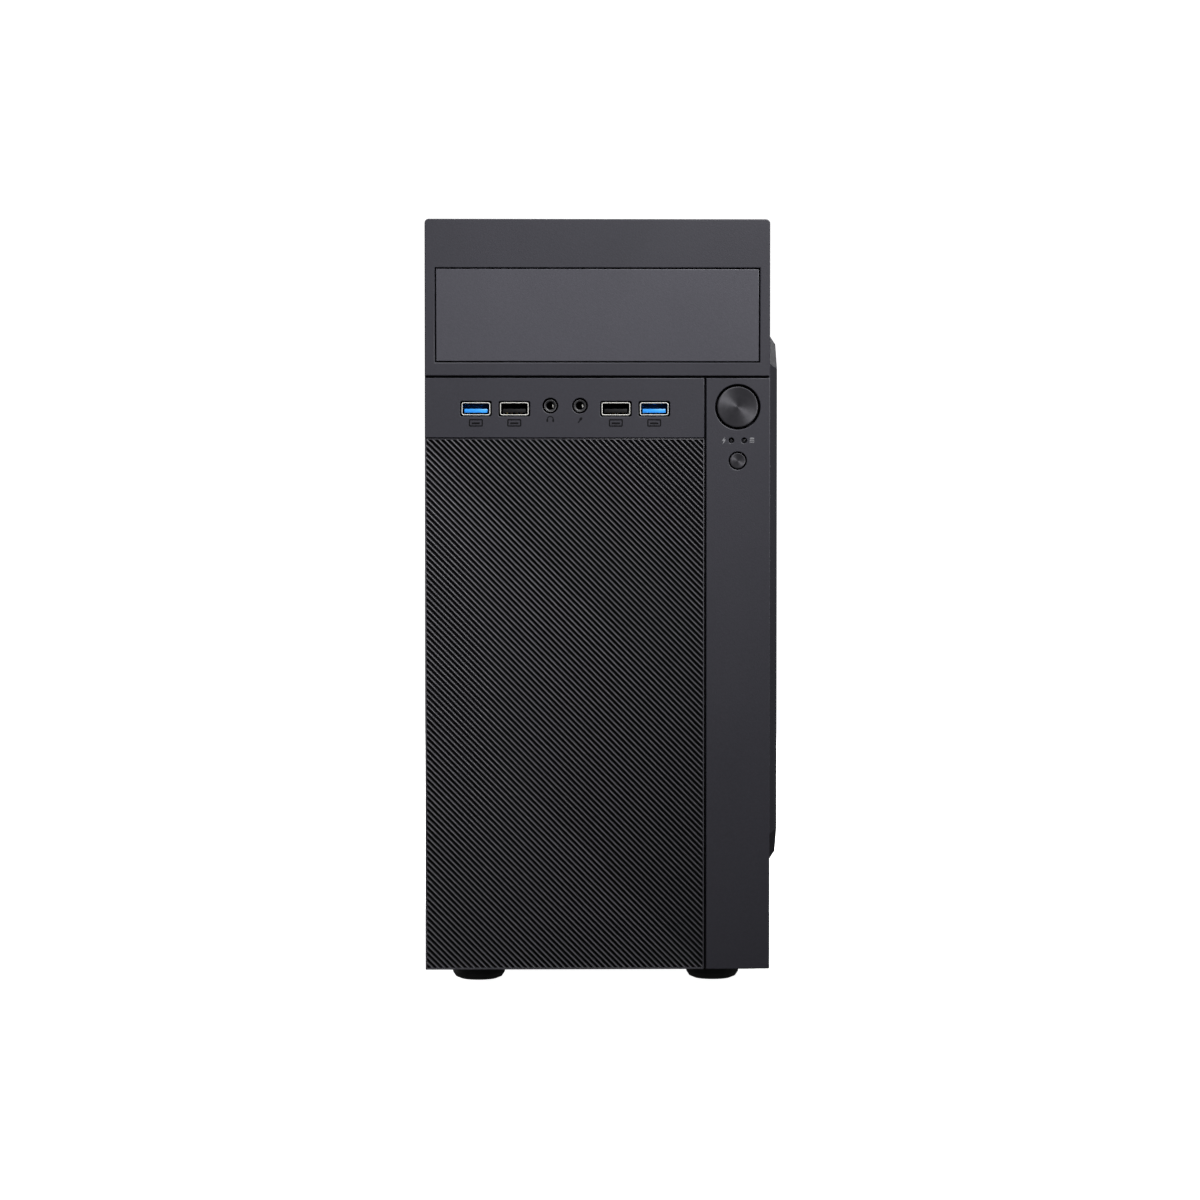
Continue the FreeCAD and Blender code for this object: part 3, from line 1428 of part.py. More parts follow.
def make_disk_circuit_board():
    """The circuit board under the hard disk, with its plug."""
    z = (DISK_Z[0] + 0.4, DISK_Z[0] + 2)
    board = box((DISK_X[0] + 4, DISK_X[1] - 4), (DISK_Y[0] + 50, DISK_Y[1]), z)
    plug = box(about(DISK_X[0] + 30, 42), (DISK_Y[1], DISK_Y[1] + 3), (DISK_Z[0] + 0.4, DISK_Z[0] + 8))
    return node(fuse(board, plug), "disk_circuit_board")


# --- cables ----------------------------------------------------------------------------------------------


def arc_at(before, corner, after):
    """The tangent arc at a corner of a route, and its radius, as large as its two runs allow."""
    back = (before - corner)
    ahead = (after - corner)
    reach = 0.45 * min(back.Length, ahead.Length)
    turn = math.pi - back.getAngle(ahead)
    radius = reach / math.tan(turn / 2)
    start = corner + back.normalize() * reach
    end = corner + ahead.normalize() * reach
    middle = (start + end) / 2 - corner
    sagitta = math.hypot(radius, reach) - radius
    return start, corner + middle.normalize() * sagitta, end, radius


def make_cable(label, radius, points):
    """A round cable along straight runs joined by tangent arcs."""
    route = [Vector(*(size(part).value for part in point)) for point in points]
    edges = []
    here = route[0]
    radii = []
    for before, corner, after in zip(route, route[1:], route[2:]):
        start, middle, end, bend = arc_at(before, corner, after)
        edges.append(Part.LineSegment(here, start).toShape())
        edges.append(Part.Arc(start, middle, end).toShape())
        radii.append(round(bend, 1))
        here = end
    edges.append(Part.LineSegment(here, route[-1]).toShape())
    path = Part.Wire(edges)
    ring = Part.Wire(Part.makeCircle(radius, route[0], route[1] - route[0]))
    item = doc.addObject("Part::Feature", label)
    item.Shape = path.makePipeShell([ring], True, True)
    ideal = math.pi * radius ** 2 * path.Length
    print(label, "bends", radii, "volume / ideal", round(item.Shape.Volume / ideal, 4))
    return node(item, label)


def make_cables():
    """The leads inside: main power, disk power, disk data and the front panel's bundle."""
    exit_y, exit_z = PSU_Y[0], PSU_Z[0] + 30
    header_y, header_z = POWER_HEADER
    make_cable("main_power_cable", 5, (
        (MIDDLE + 32, exit_y + 4, exit_z), (MIDDLE + 32, exit_y - 15, exit_z),
        (MIDDLE + 28, exit_y - 20, exit_z - 24), (MIDDLE + 21, exit_y - 19, exit_z - 60),
        (MIDDLE + 16, header_y - 4, header_z + 22), (MIDDLE + 24, header_y, header_z),
        (BOARD_FACE - 12, header_y, header_z),
    ))
    plug_y, plug_z = DISK_Y[1] + 3, DISK_Z[0] + 4.2
    plug_x = DISK_X[0] + 20
    make_cable("disk_power_cable", 2.6, (
        (MIDDLE + 23, exit_y + 4, exit_z), (MIDDLE + 23, exit_y - 14, exit_z),
        (MIDDLE + 12, exit_y - 18, exit_z - 30), (MIDDLE - 4, exit_y - 10, exit_z - 78),
        (MIDDLE - 16, exit_y + 4, exit_z - 132), (MIDDLE - 28, plug_y + 14, plug_z + 84),
        (plug_x + 2, plug_y + 20, plug_z + 38), (plug_x, plug_y + 15, plug_z), (plug_x, plug_y, plug_z),
    ))
    data_x = DISK_X[0] + 44
    disk_y, disk_z = DISK_HEADER
    make_cable("disk_data_cable", 2.2, (
        (data_x, plug_y, plug_z), (data_x, plug_y + 16, plug_z), (data_x + 10, plug_y + 20, plug_z + 28),
        (data_x + 32, plug_y, disk_z - 16), (BOARD_FACE - 30, disk_y + 16, disk_z - 3),
        (BOARD_FACE - 20, disk_y, disk_z), (BOARD_FACE - 8, disk_y, disk_z),
    ))
    hole_x, hole_z = MIDDLE + 30, IO_LINE - 6
    panel_y, panel_z = PANEL_HEADER
    start_z = PORT_Z - S.usb_height / 2 + 4
    make_cable("front_panel_cable", 2.2, (
        (IO_MIDDLE + 40, FRONT + 22, start_z), (IO_MIDDLE + 52, FRONT + 22, start_z),
        (hole_x + 14, BEZEL_BACK - 9, hole_z + 13), (hole_x + 14, BEZEL_BACK, hole_z + 4),
        (hole_x + 11, BEZEL_BACK + 14, hole_z - 2), (hole_x + 8, BEZEL_BACK + 38, hole_z - 24),
        (hole_x + 8, BEZEL_BACK + 53, hole_z - 62), (hole_x + 8, BEZEL_BACK + 66, hole_z - 110),
        (hole_x + 8, panel_y - 40, panel_z + 44), (hole_x + 8, panel_y - 14, panel_z + 12),
        (hole_x + 9, panel_y, panel_z), (BOARD_FACE - 9, panel_y, panel_z),
    ))


# --- the whole tower -------------------------------------------------------------------------------------


def make_front():
    """Everything on the front."""
    make_front_bezel()
    make_top_fascia()
    make_io_panel()
    make_rib_panel()
    make_control_strip()
    make_bay_cover()
    make_button("power_button", POWER_Z, S.power_cap, S.power_stem)
    make_button("reset_button", RESET_Z, S.reset_cap, S.reset_stem)
    make_light_pipes()
    make_switch_board()
    make_front_io_board()
    make_usb_ports()
    places = port_places()
    make_usb_tongues("usb_tongues_blue", (places[0], places[3]))
    make_usb_tongues("usb_tongues_black", (places[1], places[2]))
    make_audio_jacks()


def make_chassis():
    """The steel work, its panels and its fasteners."""
    make_chassis_floor()
    make_chassis_top()
    make_chassis_front()
    make_chassis_rear()
    make_motherboard_tray()
    make_drive_cage()
    make_disk_bracket()
    make_side_panel_left()
    make_side_panel_right()
    make_thumbscrews("thumbscrews_left", LEFT + S.screw_inset)
    make_thumbscrews("thumbscrews_right", RIGHT - S.screw_inset)
    make_feet()
    make_foot_screws()
    make_slot_covers()
    make_rear_screws()


def make_power_supply():
    """The power supply with its fan, inlet and switch."""
    make_psu_case()
    make_psu_cover()
    low = PSU_Z[0] + S.sheet + S.fan_depth / 2
    centre = ((PSU_X[0] + PSU_X[1]) / 2, (PSU_Y[0] + PSU_Y[1]) / 2, low)
    make_fan_frame("psu_fan_frame", "Z", centre, S.psu_fan_side, S.fan_depth)
    make_fan_rotor("psu_fan_rotor", "Z", centre, S.psu_fan_side, S.fan_depth)
    make_mains_inlet()
    make_rocker_frame()
    make_rocker_switch()


def make_electronics():
    """The circuit board, what is on it, the disk and the rear fan."""
    make_fan_frame("rear_fan_frame", "Y", REAR_FAN, S.fan_side, S.fan_depth)
    make_fan_rotor("rear_fan_rotor", "Y", REAR_FAN, S.fan_side, S.fan_depth)
    make_io_shield()
    make_motherboard()
    make_standoffs()
    make_board_screws()
    make_rear_ports()
    make_processor()
    make_heatsink()
    y, z = COOLER
    fan_middle = (COOLER_FACE - S.fan_depth / 2, y, z)
    make_fan_frame("cpu_fan_frame", "X", fan_middle, S.fan_side, S.fan_depth)
    make_fan_rotor("cpu_fan_rotor", "X", fan_middle, S.fan_side, S.fan_depth)
    make_memory_slots()
    make_memory_module()
    make_expansion_slots()
    make_board_headers()
    make_capacitors()
    make_chipset_heatsink()
    make_hard_disk()
    make_disk_circuit_board()


def check_and_write():
    """Stops on any failed object or bad shape, then writes one file per sub-part."""
    doc.recompute()
    for item in doc.Objects:
        if "Invalid" in item.State or "Error" in item.State:
            raise RuntimeError(f"{item.Label} is {item.State}")
    for item in nodes:
        if item.Shape.isNull() or not item.Shape.isValid():
            raise RuntimeError(f"{item.Label} has a bad shape")
        print(f"{item.Label:22} solids {len(item.Shape.Solids)}  volume {item.Shape.Volume:10.0f}")
    os.makedirs("parts", exist_ok=True)
    for item in nodes:
        item.Shape.exportStep(f"parts/{item.Label}.step")


make_front()
make_chassis()
make_power_supply()
make_electronics()
make_cables()
check_and_write()
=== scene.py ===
import json
import math
import random

import bmesh
import bpy
from mathutils import Matrix, Vector


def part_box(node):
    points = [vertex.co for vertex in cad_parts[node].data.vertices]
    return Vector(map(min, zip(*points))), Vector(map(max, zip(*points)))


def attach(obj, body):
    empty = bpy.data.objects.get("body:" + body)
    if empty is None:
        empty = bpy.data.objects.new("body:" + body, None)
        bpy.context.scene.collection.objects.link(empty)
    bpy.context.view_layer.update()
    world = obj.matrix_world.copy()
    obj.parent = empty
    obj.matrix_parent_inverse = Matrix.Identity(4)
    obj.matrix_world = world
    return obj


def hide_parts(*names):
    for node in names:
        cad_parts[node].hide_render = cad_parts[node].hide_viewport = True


# The looks of the desktop computer tower. Everything is in metres, in the frame's own axes:
# the front faces -Y, up is +Z, and the right-hand side, seen from the front, is +X.

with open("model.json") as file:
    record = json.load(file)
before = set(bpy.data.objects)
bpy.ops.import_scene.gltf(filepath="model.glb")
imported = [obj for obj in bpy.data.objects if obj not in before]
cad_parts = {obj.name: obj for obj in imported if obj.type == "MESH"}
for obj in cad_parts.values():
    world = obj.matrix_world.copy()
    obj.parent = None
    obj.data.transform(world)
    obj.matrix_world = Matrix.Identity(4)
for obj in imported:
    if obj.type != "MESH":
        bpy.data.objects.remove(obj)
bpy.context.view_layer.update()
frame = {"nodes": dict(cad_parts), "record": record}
MM = 0.001
random.seed(7)


# ---- places read from the frame

def middle(node):
    """The centre of a CAD node's box."""
    low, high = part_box(node)
    return (low + high) / 2


def centre_of(low, high, axes="xz"):
    """Where the middle of a box lies along some of its axes."""
    return [(getattr(low, axis) + getattr(high, axis)) / 2 for axis in axes]


def mm(*rows):
    """Rows of numbers given in millimetres, in metres."""
    return [tuple(value * MM for value in row) for row in rows]


FACE_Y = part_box("control_strip")[0].y       # the front of the moulded face
CASE_MIDDLE = middle("front_bezel")


# ---- shader building

class Shader:
    """A Principled material that is built up node by node."""

    def __init__(self, name, colour, roughness, metallic=0.0, **sockets):
        self.material = bpy.data.materials.new(name)
        self.material.use_nodes = True
        self.tree = self.material.node_tree
        self.surface = self.tree.nodes["Principled BSDF"]
        self.surface.inputs["Base Color"].default_value = (*colour, 1.0)
        self.surface.inputs["Roughness"].default_value = roughness
        self.surface.inputs["Metallic"].default_value = metallic
        for socket, value in sockets.items():
            self.surface.inputs[socket.replace("_", " ")].default_value = value
        self.colour = (*colour, 1.0)
        self.place = self.node("ShaderNodeTexCoord").outputs["Object"]

    def node(self, kind, inputs=None, **settings):
        made = self.tree.nodes.new(kind)
        for name, value in settings.items():
            setattr(made, name, value)
        for name, value in (inputs or {}).items():
            if isinstance(value, bpy.types.NodeSocket):
                self.tree.links.new(value, made.inputs[name])
            else:
                made.inputs[name].default_value = value
        return made

    def noise(self, size, detail=3.0, stretch=None, seed=0.0):
        """Noise with features about size metres across; stretch divides it along each axis."""
        place = self.place
        if stretch:
            place = self.node("ShaderNodeMapping", {"Vector": place, "Scale": stretch}).outputs[0]
        return self.node("ShaderNodeTexNoise", {"Vector": place, "Scale": 1 / size,
                                                "Detail": detail, "W": seed},
                         noise_dimensions="4D").outputs["Fac"]

    def cells(self, size, feature="F1"):
        return self.node("ShaderNodeTexVoronoi", {"Vector": self.place, "Scale": 1 / size},
                         feature=feature)

    def spread(self, value, low, high, span=(0.3, 0.7)):
        """Maps a value over span onto low to high."""
        return self.node("ShaderNodeMapRange", {"Value": value, "From Min": span[0], "From Max": span[1],
                                                "To Min": low, "To Max": high}).outputs[0]

    def mix(self, factor, first, second, blend="MIX"):
        made = self.node("ShaderNodeMix", data_type="RGBA", blend_type=blend)
        for socket, value in ((made.inputs[0], factor), (made.inputs[6], first), (made.inputs[7], second)):
            if isinstance(value, bpy.types.NodeSocket):
                self.tree.links.new(value, socket)
            else:
                socket.default_value = value
        return made.outputs[2]

    def use(self, socket, value):
        self.tree.links.new(value, self.surface.inputs[socket])

    def tint(self, factor, colour):
        """Blends the base colour towards another where factor is high."""
        base = self.surface.inputs["Base Color"]
        before = base.links[0].from_socket if base.links else self.colour
        self.use("Base Color", self.mix(factor, before, (*colour, 1.0)))

    def bump(self, height, distance, strength=1.0):
        """Adds a bump on top of those already there."""
        normal = self.surface.inputs["Normal"]
        inputs = {"Height": height, "Distance": distance, "Strength": strength}
        if normal.links:
            inputs["Normal"] = normal.links[0].from_socket
        self.use("Normal", self.node("ShaderNodeBump", inputs).outputs[0])

    def edges(self, radius, samples=4):
        """1 where the surface turns a corner within radius, 0 on flat parts."""
        rounded = self.node("ShaderNodeBevel", {"Radius": radius}, samples=samples).outputs[0]
        flat = self.node("ShaderNodeNewGeometry").outputs["Normal"]
        dot = self.node("ShaderNodeVectorMath", {0: rounded, 1: flat}, operation="DOT_PRODUCT")
        return self.spread(dot.outputs["Value"], 1.0, 0.0, (0.75, 0.995))

    def edge_wear_and_highlight(self, radius, colour, amount=None):
        """Blends in a colour along the edges, by an amount if one is given; this is wear, or a painted
        highlight where the colour is much paler.
        """
        factor = self.edges(radius * MM)
        if amount is not None:
            factor = self.node("ShaderNodeMath", {0: factor, 1: amount}, operation="MULTIPLY").outputs[0]
        self.tint(factor, colour)

    def mottle(self, size, colour, low=0.0, high=1.0, **options):
        self.tint(self.spread(self.noise(size, **options), low, high), colour)

    def vary_roughness(self, size, low, high, **options):
        self.use("Roughness", self.spread(self.noise(size, **options), low, high))


def scaled(colour, factor):
    return tuple(c * factor for c in colour)


def surface(name, colour, roughness, metallic=0.0, specular=None, patches=None, gloss=None,
            grain=None, stretch=None, **sockets):
    """A plain material: patches are (size, colour), gloss is (size, smoothest, roughest) and grain is
    (size, depth in millimetres, strength)."""
    s = Shader(name, colour, roughness, metallic, **sockets)
    if specular is not None:
        s.surface.inputs["Specular IOR Level"].default_value = specular
    s.mottle(*patches)
    s.vary_roughness(*gloss)
    if grain:
        size, depth, strength = grain
        s.bump(s.noise(size, stretch=stretch), depth * MM, strength)
    return s


# ---- materials

def moulded(name, colour, grain, roughness):
    """Textured injection-moulded plastic: fine spark-eroded grain, faint flow marks, and edges paled partly
    as wear and partly as a painted highlight.
    """
    s = Shader(name, colour, roughness)
    s.surface.inputs["Specular IOR Level"].default_value = 0.32
    s.mottle(0.05, scaled(colour, 0.86), stretch=(1, 1, 0.5))
    s.tint(s.spread(s.noise(0.0009), 0.0, 0.35), scaled(colour, 1.35))
    # painted highlight: the rounded edges and hole rims are tinted far paler than the plastic, partly wear
    # and partly standing in for light caught there
    s.edge_wear_and_highlight(0.5, scaled(colour, 3.4), 0.6)
    s.vary_roughness(0.05, roughness - 0.02, roughness + 0.03)
    s.bump(s.noise(grain, detail=4.0), 0.05 * MM, 0.5)
    s.bump(s.cells(grain * 1.7).outputs["Distance"], 0.04 * MM, 0.35)
    return s.material


def ribbed():
    """The ribs' plastic: a painted highlight along the crests and painted shade down in the valleys, paler
    towards the front of the ribs.
    """
    s = Shader("moulded_ribs", (0.0060, 0.0058, 0.0068), 0.62)
    s.surface.inputs["Specular IOR Level"].default_value = 0.30
    depth = s.node("ShaderNodeSeparateXYZ", {0: s.place}).outputs["Y"]
    # painted light: the colour runs from very dark in the valleys, as painted shade, to pale at the crests,
    # as a painted highlight
    crest_highlight_valley_shade = s.spread(depth, 1.0, 0.0, (FACE_Y + 0.12 * MM, FACE_Y + 0.60 * MM))
    s.tint(crest_highlight_valley_shade, (0.068, 0.066, 0.077))
    s.tint(s.spread(s.noise(0.0012), 0.0, 0.25), (0.034, 0.033, 0.040))
    s.vary_roughness(0.01, 0.40, 0.52)
    s.bump(s.noise(0.0003, detail=4.0), 0.03 * MM, 0.4)
    return s.material


def spun_metal():
    """A lacquered dark metal face turned on a lathe, so that its gloss fans out from the centre."""
    s = Shader("spun_metal", (0.033, 0.032, 0.037), 0.44, 0.60, Anisotropic=0.72)
    turned = s.node("ShaderNodeTangent", direction_type="RADIAL", axis="Y").outputs[0]
    s.use("Tangent", turned)
    s.mottle(0.004, (0.040, 0.039, 0.045))
    s.vary_roughness(0.0012, 0.40, 0.50)
    s.bump(s.noise(0.0002, detail=2.0), 0.004 * MM, 0.3)
    return s.material


def metal(name, colour, roughness, grain_size, brushed=None):
    """Plated or rolled metal with a fine, sometimes directional, grain."""
    s = surface(name, colour, roughness, 1.0, patches=(0.012, scaled(colour, 0.88)),
                gloss=(0.006, roughness - 0.07, roughness + 0.1), grain=(grain_size, 0.012, 0.35),
                stretch=brushed)
    s.edge_wear_and_highlight(0.25, scaled(colour, 1.25))
    return s.material


def galvanised():
    """Zinc-coated sheet steel: crystal spangle in its gloss and its tone."""
    s = Shader("galvanised", (0.50, 0.52, 0.54), 0.36, 1.0)
    spangle = s.cells(0.0045)
    grey = s.node("ShaderNodeRGBToBW", {"Color": spangle.outputs["Color"]}).outputs[0]
    s.tint(s.spread(grey, 0.0, 0.35, (0.2, 0.8)), (0.40, 0.42, 0.44))
    s.mottle(0.04, (0.42, 0.43, 0.44), 0.0, 0.5)
    s.use("Roughness", s.spread(grey, 0.36, 0.46, (0.2, 0.8)))
    s.bump(s.noise(0.0004), 0.01 * MM, 0.4)
    s.edge_wear_and_highlight(0.3, (0.66, 0.67, 0.69))
    return s.material


def powder_coat(name, colour, roughness):
    """Baked powder paint: orange peel over a fine texture, rubbed a little at the folds."""
    s = Shader(name, colour, roughness)
    s.surface.inputs["Specular IOR Level"].default_value = 0.14
    s.mottle(0.08, scaled(colour, 0.8))
    s.tint(s.spread(s.noise(0.0006), 0.0, 0.4), scaled(colour, 1.5))
    s.edge_wear_and_highlight(0.4, scaled(colour, 3.0), 0.35)
    s.vary_roughness(0.06, roughness - 0.02, roughness + 0.04)
    s.bump(s.noise(0.0011, detail=2.0), 0.04 * MM, 0.45)
    s.bump(s.noise(0.00035), 0.02 * MM, 0.35)
    return s.material


def circuit_board():
    """Solder mask over copper: straight traces, vias and bare pads showing through the green."""
    s = Shader("solder_mask", (0.012, 0.055, 0.030), 0.32)
    s.surface.inputs["Coat Weight"].default_value = 0.3
    grid = s.node("ShaderNodeTexBrick", {"Vector": s.place, "Scale": 1 / 0.004, "Mortar Size": 0.045,
                                         "Color1": (0, 0, 0, 1), "Color2": (0, 0, 0, 1),
                                         "Mortar": (1, 1, 1, 1)})
    turned = s.node("ShaderNodeMapping", {"Vector": s.place, "Rotation": (math.pi / 4, 0, 0)})
    lanes = s.node("ShaderNodeTexWave", {"Vector": turned.outputs[0], "Scale": 160.0},
                   bands_direction="Z", wave_profile="SAW")
    patch = s.spread(s.noise(0.018), 0.0, 1.0, (0.5, 0.52))
    tracks = s.mix(patch, grid.outputs["Color"], s.spread(lanes.outputs["Fac"], 0.0, 1.0, (0.82, 0.86)))
    level = s.node("ShaderNodeRGBToBW", {"Color": tracks}).outputs[0]
    s.tint(level, (0.022, 0.110, 0.055))
    vias = s.spread(s.cells(0.0035).outputs["Distance"], 1.0, 0.0, (0.10, 0.13))
    s.tint(vias, (0.40, 0.36, 0.22))
    s.vary_roughness(0.01, 0.24, 0.42)
    s.bump(level, 0.035 * MM, 0.6)
    return s.material


def cast_aluminium():
    s = surface("cast_aluminium", (0.50, 0.51, 0.53), 0.45, 1.0, patches=(0.01, (0.36, 0.37, 0.39)),
                gloss=(0.004, 0.38, 0.56), grain=(0.0007, 0.05, 0.6))
    s.edge_wear_and_highlight(0.3, (0.72, 0.73, 0.75))
    return s.material


def woven_sleeve(name, colour, size):
    """Braided sleeving over a bundle of leads."""
    s = Shader(name, colour, 0.62)
    weave = s.node("ShaderNodeTexChecker", {"Vector": s.place, "Scale": 1 / size,
                                            "Color1": (1, 1, 1, 1), "Color2": (0, 0, 0, 1)})
    s.tint(weave.outputs["Fac"], scaled(colour, 2.2))
    s.vary_roughness(0.004, 0.5, 0.75)
    s.bump(weave.outputs["Fac"], 0.08 * MM, 0.6)
    return s.material


def gloss_plastic(name, colour, roughness=0.36, grain=0.0005):
    s = surface(name, colour, roughness, patches=(0.006, scaled(colour, 0.8)),
                gloss=(0.004, roughness - 0.06, roughness + 0.1), grain=(grain, 0.015, 0.5))
    s.edge_wear_and_highlight(0.15, scaled(colour, 1.8), 0.4)
    return s.material


def matt_black(name, colour):
    """A dark filled plastic or ink that hardly shines."""
    return surface(name, colour, 0.6, specular=0.10, patches=(0.003, scaled(colour, 1.6)),
                   gloss=(0.002, 0.52, 0.72), grain=(0.0003, 0.01, 0.4)).material


RED = (0.42, 0.020, 0.014)                   # the disk's data lead

FINISH = {
    "moulding": moulded("moulded_face", (0.0205, 0.0200, 0.0262), 0.00045, 0.50),
    "rib_moulding": ribbed(),
    "cover_moulding": moulded("moulded_cover", (0.0370, 0.0362, 0.0450), 0.00045, 0.50),
    "button_metal": spun_metal(),
    "clear_plastic": surface("smoked_lens", (0.010, 0.010, 0.012), 0.3,
                             patches=(0.002, (0.02, 0.02, 0.024)), gloss=(0.002, 0.24, 0.38),
                             Transmission_Weight=0.25, IOR=1.45).material,
    "circuit_board": circuit_board(),
    "plated_steel": metal("nickel_plate", (0.70, 0.68, 0.64), 0.40, 0.0003),
    "blue_plastic": gloss_plastic("blue_plastic", (0.028, 0.270, 0.82)),
    "black_plastic": gloss_plastic("black_plastic", (0.014, 0.014, 0.016), 0.42),
    "galvanised_steel": galvanised(),
    "black_paint": powder_coat("black_powder_coat", (0.016, 0.016, 0.019), 0.56),
    "grey_paint": powder_coat("grey_powder_coat", (0.060, 0.062, 0.066), 0.42),
    "foot_rubber": surface("rubber", (0.010, 0.010, 0.011), 0.62, patches=(0.006, (0.018, 0.018, 0.019)),
                           gloss=(0.003, 0.52, 0.74), grain=(0.0004, 0.04, 0.5)).material,
    "brass": metal("brass", (0.72, 0.50, 0.20), 0.30, 0.0003),
    "aluminium": metal("milled_aluminium", (0.70, 0.71, 0.73), 0.30, 0.0002, brushed=(1, 0.05, 1)),
    "ivory_plastic": gloss_plastic("ivory_plastic", (0.56, 0.53, 0.44), 0.45),
    "cast_aluminium": cast_aluminium(),
    "cable_sleeve": woven_sleeve("black_sleeve", (0.012, 0.012, 0.013), 0.0009),
    "red_cable": surface("red_insulation", RED, 0.38, patches=(0.01, scaled(RED, 0.7)),
                         gloss=(0.005, 0.3, 0.48), grain=(0.0012, 0.03, 0.4)).material,
}

# looks that go in another slot
EXTRA = {
    "gold": metal("gold_plate", (0.80, 0.58, 0.24), 0.28, 0.0002),
    # a paler, part-diffuse copy of the plated steel: a painted glint on the sockets' rolled mouths and the
    # jacks' contacts
    "bright_rim": surface("satin_plate_painted_glint", (0.82, 0.81, 0.77), 0.36, 0.55,
                          patches=(0.002, (0.68, 0.67, 0.63)), gloss=(0.001, 0.34, 0.48),
                          grain=(0.0002, 0.006, 0.3)).material,
    "dull_nickel": metal("dull_nickel", (0.30, 0.30, 0.31), 0.38, 0.0002),
    # a darkened copy of the plated steel: painted shade for the insides of the socket shells and their tabs
    "nickel_painted_shade": metal("nickel_painted_shade", (0.10, 0.10, 0.10), 0.50, 0.0002),
    "deep_black": matt_black("deep_black", (0.0060, 0.0060, 0.0065)),
    "dark_ink": matt_black("dark_ink", (0.0020, 0.0020, 0.0025)),
    "white_ink": gloss_plastic("white_ink", (0.60, 0.60, 0.58), 0.45, 0.0002),
    "video_blue": gloss_plastic("socket_blue", (0.020, 0.055, 0.260)),
    "pale_ink": gloss_plastic("pale_ink", (0.15, 0.15, 0.16), 0.42, 0.0002),
}


# the colours that usually tell rear sockets apart
for name, colour in (("violet", (0.140, 0.045, 0.240)), ("green", (0.030, 0.260, 0.090)),
                     ("sky", (0.120, 0.380, 0.620)), ("lime", (0.200, 0.520, 0.090)),
                     ("pink", (0.640, 0.200, 0.260)), ("amber", (0.640, 0.300, 0.030))):
    EXTRA[name] = gloss_plastic("socket_" + name, colour)


def dress_cad_nodes():
    """Gives each CAD node its slot's finish."""
    for node in frame["nodes"].values():
        for material_slot in node.material_slots:
            material_slot.material = FINISH[material_slot.name]


# ---- mesh building

TURN_TO = {"X": Matrix.Rotation(math.pi / 2, 4, "Y"), "Y": Matrix.Rotation(-math.pi / 2, 4, "X"),
           "Z": Matrix.Identity(4)}


# a plate is drawn in the two other axes: x and z, y and z, or x and y
PLATE_TO = {"X": (Matrix(((0, 0, 1, 0), (1, 0, 0, 0), (0, 1, 0, 0), (0, 0, 0, 1))), Vector((1, 0, 0))),
            "Y": (Matrix.Rotation(math.pi / 2, 4, "X"), Vector((0, 1, 0))),
            "Z": (Matrix.Identity(4), Vector((0, 0, 1)))}


def link_mesh(name, mesh, finish=None, angle=32):
    """A bmesh as a new object, smooth apart from its sharp edges."""
    bmesh.ops.remove_doubles(mesh, verts=mesh.verts, dist=1e-6)
    bmesh.ops.recalc_face_normals(mesh, faces=mesh.faces)
    data = bpy.data.meshes.new(name)
    mesh.to_mesh(data)
    mesh.free()
    data.set_sharp_from_angle(angle=math.radians(angle))
    for face in data.polygons:
        # the flat caps of plates are triangles that lie square to an axis
        face.use_smooth = len(face.vertices) > 3 or max(abs(part) for part in face.normal) < 0.9999
    made = bpy.data.objects.new(name, data)
    bpy.context.scene.collection.objects.link(made)
    if finish:
        data.materials.append(FINISH[finish] if finish in FINISH else EXTRA[finish])
    return made


def place(made, body="chassis", slot=None, replaced=()):
    """Puts a finished piece on a body, in place of CAD nodes. The slot is not used."""
    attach(made, body)
    if replaced:
        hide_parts(*replaced)
    return made


def piece(name, mesh, finish, slot=None, body="chassis", replaced=(), angle=32):
    """Makes a mesh into a piece and puts it in place; the slot, its finish unless another is named, is
    handed on to place, which does not use it.
    """
    return place(link_mesh(name, mesh, finish, angle), body, slot or finish, replaced)


def rounded(x, z, width, height, radius, steps=6):
    """A rectangle with rounded corners, as points anticlockwise from the right."""
    points = []
    for corner, (side, up) in enumerate(((1, 1), (-1, 1), (-1, -1), (1, -1))):
        centre = (x + side * (width / 2 - radius), z + up * (height / 2 - radius))
        for step in range(steps + 1):
            turn = math.pi / 2 * (corner + step / steps)
            points.append((centre[0] + radius * math.cos(turn), centre[1] + radius * math.sin(turn)))
    return points


def circle(x, z, radius, steps=64):
    turns = [2 * math.pi * step / steps for step in range(steps)]
    return [(x + radius * math.cos(turn), z + radius * math.sin(turn)) for turn in turns]


def skin_loops(mesh, loops, closed=False):
    """Joins loops of points with faces; capped at both ends, or joined into a ring."""
    rows = [[mesh.verts.new(point) for point in loop] for loop in loops]
    count = len(rows[0])
    pairs = list(zip(rows, rows[1:] + rows[:1])) if closed else list(zip(rows, rows[1:]))
    for row, following in pairs:
        for index in range(count):
            after = (index + 1) % count
            mesh.faces.new((row[index], row[after], following[after], following[index]))
    if not closed:
        mesh.faces.new(rows[0])
        mesh.faces.new(rows[-1])


def sleeve(mesh, outline_at, steps, closed=False):
    """Skins outlines in planes across Y: steps are (inset, y) and outline_at(inset) gives (x, z) points."""
    skin_loops(mesh, [[(x, y, z) for x, z in outline_at(inset)] for inset, y in steps], closed)


def turned(mesh, profile, centre, axis="Y", steps=96, closed=False):
    """Skins a (radius, height) profile round an axis through centre."""
    matrix = Matrix.Translation(centre) @ TURN_TO[axis]
    loops = [[matrix @ Vector((x, y, height)) for x, y in circle(0, 0, radius, steps)]
             for radius, height in profile]
    skin_loops(mesh, loops, closed)


